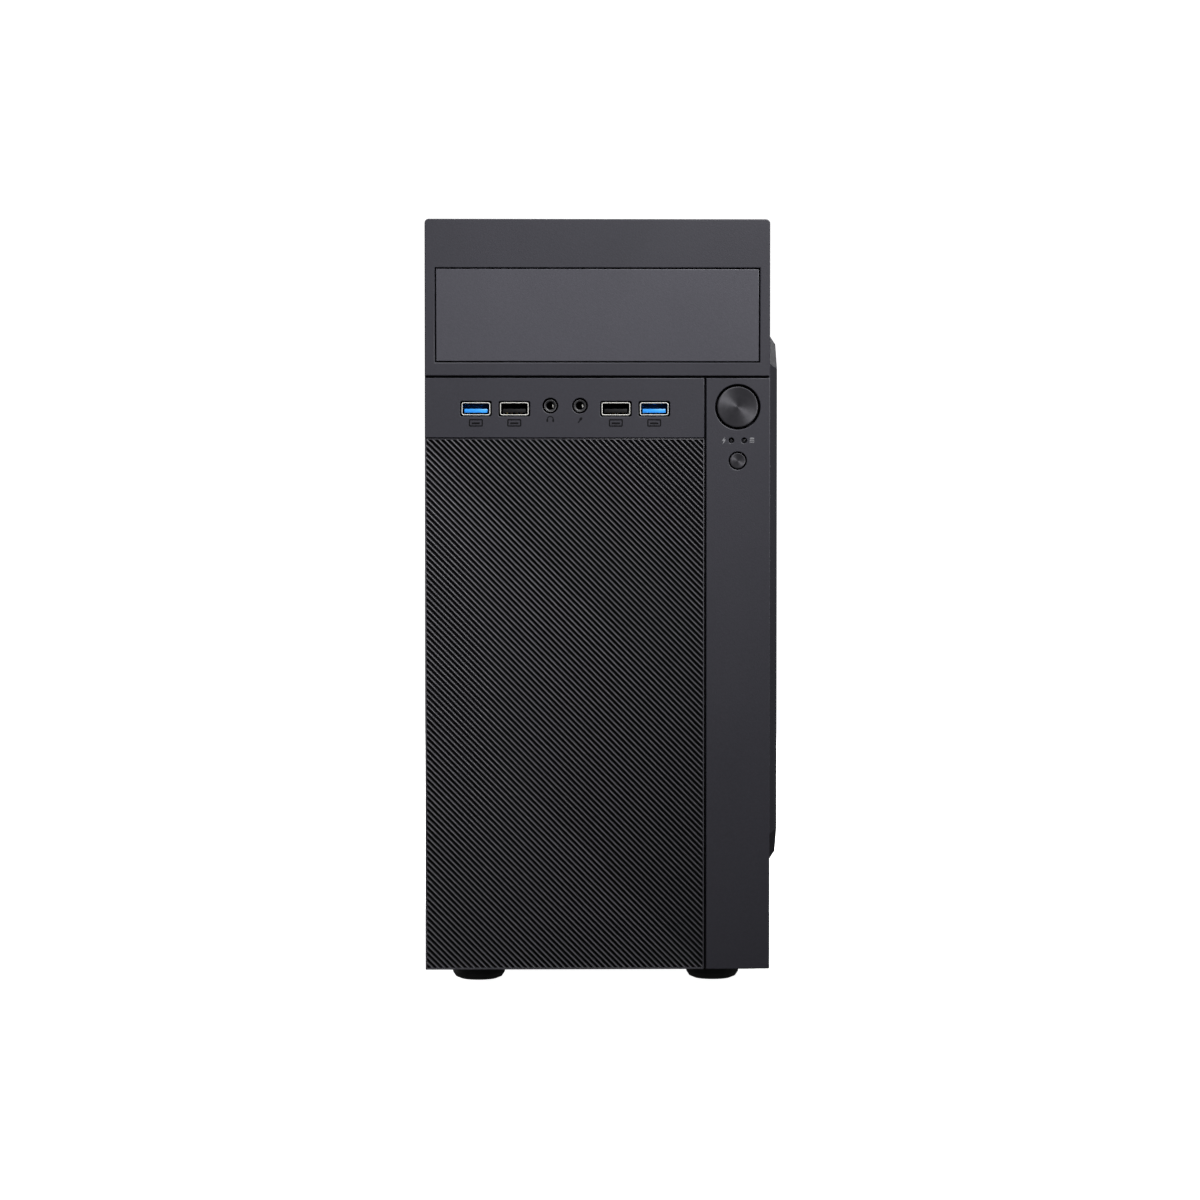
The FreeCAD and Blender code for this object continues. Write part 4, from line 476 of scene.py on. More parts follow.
def plate(mesh, outlines, start, end, edge, axis="Y", resolution=3):
    """A flat plate between two planes across an axis, with rounded edges; inner outlines are holes."""
    curve = bpy.data.curves.new("plate", "CURVE")
    curve.dimensions = "2D"
    curve.fill_mode = "BOTH"
    curve.extrude = (end - start) / 2 - edge
    curve.bevel_depth = edge
    curve.bevel_resolution = resolution
    curve.offset = -edge
    for outline in outlines:
        spline = curve.splines.new("POLY")
        spline.points.add(len(outline) - 1)
        spline.points.foreach_set("co", [value for x, y in outline for value in (x, y, 0.0, 1.0)])
        spline.use_cyclic_u = True
    carrier = bpy.data.objects.new("plate", curve)
    bpy.context.scene.collection.objects.link(carrier)
    bpy.context.view_layer.update()
    filled = bpy.data.meshes.new_from_object(carrier.evaluated_get(bpy.context.evaluated_depsgraph_get()))
    turn, direction = PLATE_TO[axis]
    filled.transform(Matrix.Translation(direction * (start + end) / 2) @ turn)
    mesh.from_mesh(filled)
    bpy.data.objects.remove(carrier)
    bpy.data.meshes.remove(filled)


def brick(mesh, low, high):
    """A block between two corners, with its edges left for a bevel."""
    size = [b - a for a, b in zip(low, high)]
    centre = [(a + b) / 2 for a, b in zip(low, high)]
    bmesh.ops.create_cube(mesh, size=1.0, matrix=Matrix.Translation(centre) @ Matrix.Diagonal((*size, 1)))


def soft_brick(mesh, low, high, edge, segments=2):
    """A block between two corners, with rounded edges."""
    made = bmesh.new()
    brick(made, low, high)
    bmesh.ops.bevel(made, geom=made.edges[:], offset=edge, segments=segments, profile=0.5,
                    affect="EDGES", clamp_overlap=True)
    absorb(mesh, made)


def absorb(mesh, other):
    """Adds one bmesh to another."""
    carried = bpy.data.meshes.new("carried")
    other.to_mesh(carried)
    other.free()
    mesh.from_mesh(carried)
    bpy.data.meshes.remove(carried)


# ---- front mouldings

MOUNTS = {mount["name"]: Vector(mount["pos_m"]) for mount in frame["record"]["mounts"]}
PORTS = [MOUNTS[f"usb_socket_{number}"] for number in (1, 2, 3, 4)]
JACKS = [MOUNTS["headphone_jack"], MOUNTS["microphone_jack"]]
POWER = middle("power_button")
RESET = middle("reset_button")
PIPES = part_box("light_pipes")
PIPE_COLLAR = 1.95 * MM                      # the radius at each end of the pipes' box
LIGHTS = [(x, middle("light_pipes").z) for x in (PIPES[0].x + PIPE_COLLAR, PIPES[1].x - PIPE_COLLAR)]
SINK = 0.12 * MM                             # how far the plain faces lie behind the raised marks
BAY_GAP = 0.6 * MM                           # round the drive cover
USB_CUTOUT = (14.5 * MM, 7.1 * MM, 0.9 * MM)  # width, height and corner radius
USB_SHELL = (13.1 * MM, 5.9 * MM)
JACK_HOLE = 3.6 * MM
LIGHT_HOLE = 1.25 * MM
POWER_HOLE, POWER_CAP, POWER_STEM = 10.4 * MM, 9.3 * MM, 2.5 * MM
RESET_HOLE, RESET_CAP, RESET_STEM = 4.15 * MM, 3.55 * MM, 1.5 * MM


def fascia_outline(low, high, radius):
    """The upper skin's outline, with the tower's rounded top corners."""
    points = [(low.x, low.z), (high.x, low.z)]
    for x, start in ((high.x - radius, 0), (low.x + radius, 1)):
        for step in range(7):
            turn = math.pi / 2 * (start + step / 6)
            points.append((x + radius * math.cos(turn), high.z - radius + radius * math.sin(turn)))
    return points


def box_outline(low, high, grow=0.0):
    return [(low.x - grow, low.z - grow), (high.x + grow, low.z - grow),
            (high.x + grow, high.z + grow), (low.x - grow, high.z + grow)]


def make_skin(name, node, outlines, edge, sink=0.0, resolution=3):
    """One of the moulded skins on the front; its first outline is its own and the others are holes."""
    low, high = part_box(node)
    mesh = bmesh.new()
    plate(mesh, outlines, low.y + sink, high.y, edge, resolution=resolution)
    piece(name, mesh, "moulding", replaced=[node])


def make_skins():
    """The upper skin with its window, the sockets' skin and the control strip with its round holes."""
    window = box_outline(*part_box("bay_cover"), BAY_GAP)
    make_skin("fascia_skin", "top_fascia", [fascia_outline(*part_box("top_fascia"), 2.0 * MM), window],
              0.45 * MM)
    holes = [rounded(spot.x, spot.z, *USB_CUTOUT) for spot in PORTS]
    holes += [circle(spot.x, spot.z, JACK_HOLE) for spot in JACKS]
    make_skin("socket_skin", "io_panel", [box_outline(*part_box("io_panel")), *holes], 0.25 * MM, SINK)
    holes = [circle(POWER.x, POWER.z, POWER_HOLE, 128), circle(RESET.x, RESET.z, RESET_HOLE, 96)]
    holes += [circle(x, z, LIGHT_HOLE, 48) for x, z in LIGHTS]
    make_skin("control_skin", "control_strip", [box_outline(*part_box("control_strip")), *holes], 0.35 * MM,
              SINK, 4)


def make_bay_cover():
    """The blank cover: a soft-edged plate, stiffening ribs and a barbed spring arm at each end."""
    low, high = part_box("bay_cover")
    mesh = bmesh.new()
    plate(mesh, [box_outline(low, high)], low.y, low.y + 3.0 * MM, 0.3 * MM)
    middle_z = (low.z + high.z) / 2
    for end, inward in ((low.x + 0.8 * MM, 1), (high.x - 0.8 * MM, -1)):
        inner = end + inward * 1.6 * MM
        soft_brick(mesh, (min(end, inner), low.y + 2.9 * MM, middle_z - 6 * MM),
                   (max(end, inner), high.y, middle_z + 6 * MM), 0.3 * MM)
    for x in (-0.045, 0.0, 0.045):
        middle_x = (low.x + high.x) / 2 + x
        soft_brick(mesh, (middle_x - 0.7 * MM, low.y + 2.9 * MM, low.z + 3 * MM),
                   (middle_x + 0.7 * MM, low.y + 5.5 * MM, high.z - 3 * MM), 0.2 * MM)
    piece("drive_cover", mesh, "cover_moulding", body="bay_cover", replaced=["bay_cover"])


RIB_PITCH = 1.957 * MM
RIB_REACH = 0.3                              # each way from the middle, before the ribs are trimmed
# across one rib and down from its crest, in millimetres
RIB_FORM = ((-0.56, 1.25), (-0.42, 0.42), (-0.36, 0.20), (-0.22, 0.06), (0.0, 0.0), (0.22, 0.06),
            (0.36, 0.20), (0.50, 0.46), (0.90, 1.25))


def make_ribs():
    """Fine ribs that fall at 45 degrees, rounded along their crests, inside a narrow border."""
    low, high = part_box("rib_panel")
    left, right = low.x + 0.7 * MM, high.x - 0.5 * MM
    bottom, top = low.z + 0.8 * MM, high.z - 0.4 * MM
    face = low.y + 0.05 * MM
    centre = Vector(((left + right) / 2, 0, (bottom + top) / 2))
    along = Vector((1, 0, -1)).normalized()
    across = Vector((1, 0, 1)).normalized()
    reach = ((right - left) + (top - bottom)) / math.sqrt(2) / 2 + RIB_PITCH
    count = math.ceil(reach / RIB_PITCH)
    section = []
    for index in range(-count, count + 1):
        section += [(index * RIB_PITCH + offset * MM, face + depth * MM) for offset, depth in RIB_FORM]
    mesh = bmesh.new()
    rows = [[mesh.verts.new(centre + across * u + Vector((0, y, 0)) + along * side * RIB_REACH)
             for u, y in section] for side in (-1, 1)]
    for index in range(len(section) - 1):
        mesh.faces.new((rows[0][index], rows[0][index + 1], rows[1][index + 1], rows[1][index]))
    for point, normal in (((left, 0, 0), (-1, 0, 0)), ((right, 0, 0), (1, 0, 0)),
                          ((0, 0, bottom), (0, 0, -1)), ((0, 0, top), (0, 0, 1))):
        bmesh.ops.bisect_plane(mesh, geom=mesh.verts[:] + mesh.edges[:] + mesh.faces[:], dist=1e-8,
                               plane_co=point, plane_no=normal, clear_outer=True)
    # the walls and the back are made in order round the panel, so that each run gives the same mesh
    rim = sorted({vert for edge in mesh.edges if edge.is_boundary for vert in edge.verts},
                 key=lambda vert: math.atan2(vert.co.z - centre.z, vert.co.x - centre.x))
    back = [mesh.verts.new((vert.co.x, high.y, vert.co.z)) for vert in rim]
    for index in range(len(rim)):
        mesh.faces.new((rim[index - 1], rim[index], back[index], back[index - 1]))
    mesh.faces.new(back)
    piece("rib_field", mesh, "rib_moulding", replaced=["rib_panel"], angle=50)
    mesh = bmesh.new()
    window = [(left, bottom), (right, bottom), (right, top), (left, top)]
    plate(mesh, [box_outline(low, high), window], face, high.y, 0.2 * MM, resolution=2)
    piece("rib_border", mesh, "rib_moulding")


STEM_SEAT = 11.3 * MM                         # from the front to the collar that rests behind the guide
COLLAR = 0.9 * MM


def make_button(name, centre, cap, stem, rings):
    """A turned button, on the body of the same name: faint concentric grooves on a slightly dished face,
    a rounded rim, and a stem with its collar. Its origin is on its axis, where the spun gloss needs it."""
    low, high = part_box(name)
    face = low.y
    profile = [(0.02 * MM, face + 0.10 * MM)]
    for ring in range(rings):
        radius = (cap - 0.7 * MM) * (ring + 1) / rings
        dish = 0.10 * MM * (1 - (radius / cap) ** 2)
        groove = 0.012 * MM if ring % 2 else 0.0
        profile.append((radius, face + dish + groove))
    profile += [(cap - 0.16 * MM, face), (cap - 0.05 * MM, face + 0.04 * MM), (cap, face + 0.15 * MM),
                (cap, face + 2.7 * MM), (stem, face + 2.8 * MM)]
    seat = FACE_Y + STEM_SEAT
    profile += [(stem, seat), (stem + COLLAR, seat), (stem + COLLAR, seat + 1.0 * MM),
                (stem, seat + 1.0 * MM), (stem, high.y)]
    mesh = bmesh.new()
    matrix = Matrix.Translation((centre.x, 0, centre.z))
    skin_loops(mesh, [[matrix @ Vector((x, y, z)) for x, z in circle(0, 0, radius, 128)]
                      for radius, y in profile])
    made = link_mesh(name + "_cap", mesh, "button_metal", angle=60)
    made.data.transform(Matrix.Translation((-centre.x, 0, -centre.z)))
    made.location = (centre.x, 0, centre.z)
    place(made, name, "button_metal", [name])


def make_light_pipes():
    """Two domed light pipes, each in its own hole."""
    mesh = bmesh.new()
    for x, z in LIGHTS:
        turned(mesh, mm((0.05, 0.9), (0.6, 0.95), (1.0, 1.1), (1.15, 1.4), (1.15, 5.2), (1.95, 5.25),
                        (1.95, 6.5), (1.15, 6.55), (1.15, 22.9)), Vector((x, PIPES[0].y, z)), steps=40)
    piece("light_lenses", mesh, "clear_plastic", replaced=["light_pipes"])


MOUTH_FORM = mm((0, 0.3), (0, 0.12), (0.08, 0.02), (0.2, 0), (0.32, 0.02), (0.4, 0.12), (0.4, 0.3))


def make_usb_sockets():
    """Four drawn-steel shells with rolled mouths and sprung side tabs; tongues with their contacts."""
    low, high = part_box("usb_ports")
    shells, springs, mouths = bmesh.new(), bmesh.new(), bmesh.new()
    face, back = low.y, high.y
    for spot in PORTS:
        def outline(inset, spot=spot):
            return rounded(spot.x, spot.z, *(side - 2 * inset for side in USB_SHELL),
                           max(1.0 * MM - inset, 0.2 * MM))

        sleeve(shells, outline, [(0.03 * MM, back), (0.03 * MM, face + 0.1 * MM),
                                 (0.39 * MM, face + 0.1 * MM), (0.39 * MM, back)], closed=True)
        sleeve(mouths, outline, [(inset, face + depth) for inset, depth in MOUTH_FORM], closed=True)
        for side in (-1, 1):
            soft_brick(springs, (spot.x + side * 3.2 * MM - 1.0 * MM, face + 3 * MM, spot.z + 2.2 * MM),
                       (spot.x + side * 3.2 * MM + 1.0 * MM, face + 8 * MM, spot.z + 2.6 * MM), 0.15 * MM)
    # painted shade: the shells and their side tabs take the darkened copy of the plated steel
    piece("usb_shells", shells, "nickel_painted_shade", "plated_steel", replaced=["usb_ports"])
    # painted glint: the rolled mouths take the paler copy of the plated steel
    piece("usb_mouths", mouths, "bright_rim", "plated_steel")
    piece("usb_springs", springs, "nickel_painted_shade", "plated_steel")
    contacts = bmesh.new()
    for node, slot, finish, spots in (
            ("usb_tongues_blue", "blue_plastic", "blue_plastic", (PORTS[0], PORTS[3])),
            ("usb_tongues_black", "black_plastic", "deep_black", (PORTS[1], PORTS[2]))):
        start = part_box(node)[0].y
        mesh = bmesh.new()
        for spot in spots:
            middle_z = spot.z - 0.9 * MM
            soft_brick(mesh, (spot.x - 5.3 * MM, start, middle_z - 0.9 * MM),
                       (spot.x + 5.3 * MM, back - 0.6 * MM, middle_z + 0.9 * MM), 0.25 * MM)
            soft_brick(mesh, (spot.x - 6.1 * MM, back - 5.0 * MM, spot.z - 2.5 * MM),
                       (spot.x + 6.1 * MM, back - 0.5 * MM, spot.z + 2.5 * MM), 0.15 * MM)
            for index in range(4):
                x = spot.x + (index - 1.5) * 2.2 * MM
                soft_brick(contacts, (x - 0.5 * MM, start + 1.2 * MM, middle_z - 1.05 * MM),
                           (x + 0.5 * MM, back - 5.0 * MM, middle_z - 0.85 * MM), 0.05 * MM, 1)
        piece(node + "_moulded", mesh, finish, slot, replaced=[node])
    piece("usb_contacts", contacts, "gold", "brass")


def make_jacks():
    """Two round sockets: black nose, plated lip, a sprung contact in the bore and the body's thin sides."""
    low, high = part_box("audio_jacks")
    noses, lips, springs = bmesh.new(), bmesh.new(), bmesh.new()
    for spot in JACKS:
        centre = Vector((spot.x, low.y, spot.z))
        turned(noses, mm((1.8, 14), (1.8, 0.5), (1.95, 0.25), (2.2, 0.12), (2.5, 0.12), (2.7, 0.3),
                         (2.75, 5.0), (3.2, 5.0), (3.2, 14)), centre, closed=True, steps=72)
        turned(noses, [(0.02 * MM, 14.0 * MM), (3.2 * MM, 14.0 * MM), (3.2 * MM, high.y - low.y),
                       (0.02 * MM, high.y - low.y)], centre, steps=48)
        turned(lips, mm((2.56, 0.10), (2.60, 0), (2.74, 0), (2.78, 0.10), (2.78, 0.8), (2.56, 0.8)),
               centre, closed=True, steps=72)
        soft_brick(springs, (spot.x + 0.95 * MM, low.y + 0.9 * MM, spot.z - 0.8 * MM),
                   (spot.x + 1.65 * MM, low.y + 7 * MM, spot.z + 0.8 * MM), 0.3 * MM, 3)
    bodies = bmesh.new()
    for spot in JACKS:
        for side in (-1, 1):
            soft_brick(bodies, (spot.x + side * 3.25 * MM - 0.05 * MM, low.y + 5.2 * MM, low.z),
                       (spot.x + side * 3.25 * MM + 0.05 * MM, high.y, high.z), 0.02 * MM, 1)
    absorb(noses, bodies)
    piece("jack_noses", noses, "black_plastic", replaced=["audio_jacks"])
    piece("jack_lips", lips, "dull_nickel", "plated_steel")
    # painted glint: the contact in the bore takes the paler copy of the plated steel
    piece("jack_springs", springs, "bright_rim", "plated_steel")


# ---- marks on the front

def ring_pair(outline_of, line):
    """An outline and the same outline inset by a line's width."""
    return [outline_of(0.0), outline_of(line)]


def port_mark(x, z):
    """A generic socket pictogram: a frame with a tongue inside."""
    frame_lines = ring_pair(lambda inset: rounded(x, z, 6.4 * MM - 2 * inset, 3.4 * MM - 2 * inset,
                                                  max(0.6 * MM - inset, 0.08 * MM)), 0.55 * MM)
    return frame_lines + [rounded(x, z - 0.2 * MM, 3.8 * MM, 0.8 * MM, 0.1 * MM)]


def headphone_mark(x, z):
    """A headband with two ear pads."""
    band = [(x + r * math.cos(t), z + r * math.sin(t))
            for r, turns in ((1.55 * MM, range(0, 13)), (1.15 * MM, range(12, -1, -1)))
            for t in [math.pi * step / 12 for step in turns]]
    pads = [rounded(x + side * 1.35 * MM, z - 0.55 * MM, 0.8 * MM, 1.3 * MM, 0.3 * MM) for side in (-1, 1)]
    return [band], pads


def microphone_mark(x, z):
    """A microphone on its stem, leaning to the right."""
    lean = math.radians(-35)
    def leaning(points):
        return [(x + u * math.cos(lean) - v * math.sin(lean), z + u * math.sin(lean) + v * math.cos(lean))
                for u, v in points]
    head = leaning(rounded(0, 0.75 * MM, 1.1 * MM, 1.5 * MM, 0.5 * MM))
    stem = leaning(rounded(0, -0.75 * MM, 0.5 * MM, 1.3 * MM, 0.15 * MM))
    return [head], [stem]


def power_mark(x, z):
    """A lightning flash."""
    points = ((0.5, 1.5), (-0.75, -0.15), (-0.1, -0.15), (-0.5, -1.5), (0.8, 0.35), (0.1, 0.35))
    return [[(x + u * 1.25 * MM, z + v * 1.25 * MM) for u, v in points]]


def drive_mark(x, z):
    """A storage drum: a lid and two bands."""
    lid = rounded(x, z + 0.95 * MM, 2.1 * MM, 0.7 * MM, 0.34 * MM)
    bands = [rounded(x, z + up * MM, 2.1 * MM, 0.5 * MM, 0.2 * MM) for up in (0.1, -0.75)]
    return [lid, *bands]


def make_marks():
    """Small raised pictograms: dark below the sockets, pale beside the two lights."""
    face = FACE_Y + 0.02 * MM
    back = FACE_Y + SINK + 0.2 * MM
    dark = bmesh.new()
    for spot in PORTS:
        plate(dark, port_mark(spot.x, spot.z - 6.4 * MM), face, back, 0.03 * MM, resolution=0)
    for mark, spot, drop in ((headphone_mark, JACKS[0], 6.2), (microphone_mark, JACKS[1], 6.6)):
        for outlines in mark(spot.x, spot.z - drop * MM):
            for outline in outlines:
                plate(dark, [outline], face, back, 0.03 * MM, resolution=0)
    piece("socket_marks", dark, "dark_ink", "black_plastic")
    pale = bmesh.new()
    left, right = LIGHTS[0][0] - 3.4 * MM, LIGHTS[1][0] + 3.6 * MM
    for outline in power_mark(left, LIGHTS[0][1]) + drive_mark(right, LIGHTS[0][1]):
        plate(pale, [outline], face, back, 0.03 * MM, resolution=0)
    piece("light_marks", pale, "pale_ink", "moulding")


# ---- fans and fixings

def parts_of(node):
    """The boxes of the separate solids in a CAD node, as (low, high) pairs."""
    mesh = bmesh.new()
    mesh.from_mesh(frame["nodes"][node].data)
    mesh.transform(frame["nodes"][node].matrix_world)
    bmesh.ops.remove_doubles(mesh, verts=mesh.verts, dist=1e-5)
    waiting, boxes = set(mesh.verts), []
    while waiting:
        reached, edge_of_search = set(), [waiting.pop()]
        while edge_of_search:
            vert = edge_of_search.pop()
            reached.add(vert)
            for edge in vert.link_edges:
                other = edge.other_vert(vert)
                if other in waiting:
                    waiting.discard(other)
                    edge_of_search.append(other)
        low = Vector([min(vert.co[axis] for vert in reached) for axis in range(3)])
        high = Vector([max(vert.co[axis] for vert in reached) for axis in range(3)])
        boxes.append((low, high))
    mesh.free()
    return sorted(boxes, key=lambda pair: (round(pair[0].z, 4), round(pair[0].x, 4), round(pair[0].y, 4)))


def make_rotor(fan, axis, blades=7):
    """A moulded fan rotor: hub cup with a rounded rim, and twisted aerofoil blades swept forward."""
    rotor = fan + "_rotor"
    low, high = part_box(fan + "_frame")
    centre = (low + high) / 2
    side = high.z - low.z if axis != "Z" else high.x - low.x
    depth = 25 * MM
    hub, reach = side * 0.23, side * 0.475 - 0.9 * MM
    start, end = -depth / 2 + 1 * MM, depth / 2 - 4.6 * MM
    mesh = bmesh.new()
    shaft = end + 4.2 * MM
    turned(mesh, [(0.1 * MM, start + 0.5 * MM), (hub * 0.62, start + 0.5 * MM), (hub * 0.66, start),
                  (hub - 1.2 * MM, start), (hub - 0.35 * MM, start + 0.35 * MM), (hub, start + 1.2 * MM),
                  (hub, end), (1.5 * MM, end), (1.5 * MM, shaft), (0.1 * MM, shaft)], centre, axis, 72)
    matrix = Matrix.Translation(centre) @ TURN_TO[axis]
    section = [(-0.5, 0.0), (-0.46, 0.35), (-0.3, 0.7), (-0.05, 0.8), (0.2, 0.6), (0.42, 0.25), (0.5, 0.0),
               (0.42, -0.1), (0.2, -0.15), (-0.05, -0.2), (-0.3, -0.25), (-0.46, -0.2)]
    for blade in range(blades):
        loops = []
        for step in range(7):
            out = step / 6
            radius = hub - 0.6 * MM + (reach - hub + 0.6 * MM) * out
            twist = math.radians(50 - 20 * out)
            chord = side * (0.24 + 0.04 * out)
            lead = 2 * math.pi * blade / blades + 0.22 * out ** 2
            loop = []
            for along, thick in section:
                arch = 0.9 * MM * (1 - (2 * along) ** 2)
                u = along * chord * math.cos(twist) - (thick * MM + arch) * math.sin(twist)
                v = along * chord * math.sin(twist) + (thick * MM + arch) * math.cos(twist)
                turn = lead + u / radius
                height = min(max((start + end) / 2 + v, start + 0.2 * MM), end - 0.2 * MM)
                loop.append(matrix @ Vector((radius * math.cos(turn), radius * math.sin(turn), height)))
            loops.append(loop)
        skin_loops(mesh, loops)
    piece(rotor + "_moulded", mesh, "black_plastic", body=rotor, replaced=[rotor], angle=40)


def cross(x, z, reach, width):
    """The outline of a cross recess."""
    r, w = reach, width / 2
    corners = ((w, w), (w, r), (-w, r), (-w, w), (-r, w), (-r, -w),
               (-w, -w), (-w, -r), (w, -r), (w, -w), (r, -w), (r, w))
    return [(x + u, z + v) for u, v in corners]


def screw(mesh, centre, radius, start, end, axis="Y"):
    """A pan-head screw with a cross recess, its head between start and end along an axis."""
    inner = start + (end - start) * 0.35
    edge = min(radius * 0.28, abs(end - inner) * 0.48)
    plate(mesh, [circle(*centre, radius, 40), cross(*centre, radius * 0.55, radius * 0.24)],
          *sorted((inner, end)), edge, axis)
    plate(mesh, [circle(*centre, radius * 0.98, 40)], *sorted((start, inner)), abs(inner - start) * 0.2,
          axis, 1)


def make_screws():
    """Pan-head screws on the rear wall and on the circuit board."""
    mesh = bmesh.new()
    for low, high in parts_of("rear_screws"):
        screw(mesh, centre_of(low, high), 3.2 * MM, high.y - 1.8 * MM, high.y)
    piece("wall_screws", mesh, "plated_steel", replaced=["rear_screws"])
    mesh = bmesh.new()
    for low, high in parts_of("board_screws"):
        screw(mesh, centre_of(low, high, "yz"), 3.0 * MM, low.x + 1.8 * MM, low.x, "X")
    piece("board_fixings", mesh, "plated_steel", replaced=["board_screws"])


def make_thumbscrews(node, body):
    """Knurled thumbscrews with a cross recess and a washer face."""
    mesh = bmesh.new()
    for low, high in parts_of(node):
        x, z = centre_of(low, high)
        radius = (high.x - low.x) / 2
        seat, crown = high.y - 6.5 * MM, high.y

        def knurled(inset, x=x, z=z, radius=radius):
            points = []
            for tooth in range(96):
                turn = 2 * math.pi * tooth / 96
                reach = radius - inset - (0.32 * MM if tooth % 3 == 0 else 0.0)
                points.append((x + reach * math.cos(turn), z + reach * math.sin(turn)))
            return points

        plate(mesh, [circle(x, z, radius * 0.86, 48)], seat, seat + 1.3 * MM, 0.2 * MM)
        sleeve(mesh, knurled, [(0.5 * MM, seat + 1.2 * MM), (0.0, seat + 1.6 * MM), (0.0, crown - 1.3 * MM),
                               (0.5 * MM, crown - 0.9 * MM)])
        plate(mesh, [circle(x, z, radius * 0.82, 48), cross(x, z, radius * 0.5, radius * 0.2)],
              crown - 1.2 * MM, crown, 0.3 * MM)
        root = seat + 0.2 * MM
        turned(mesh, [(0.1 * MM, low.y), (1.1 * MM, low.y), (1.5 * MM, low.y + 0.5 * MM), (1.5 * MM, root),
                      (0.1 * MM, root)], Vector((x, 0, z)), steps=32)
    piece(node + "_knurled", mesh, "plated_steel", body=body, replaced=[node], angle=28)


# ---- rear sockets

def d_shape(x, z, width, height, slant):
    """A D-shaped connector's outline, narrower on its +X side."""
    return [(x - width / 2, z - height / 2), (x + width / 2, z - height / 2 + slant),
            (x + width / 2, z + height / 2 - slant), (x - width / 2, z + height / 2)]


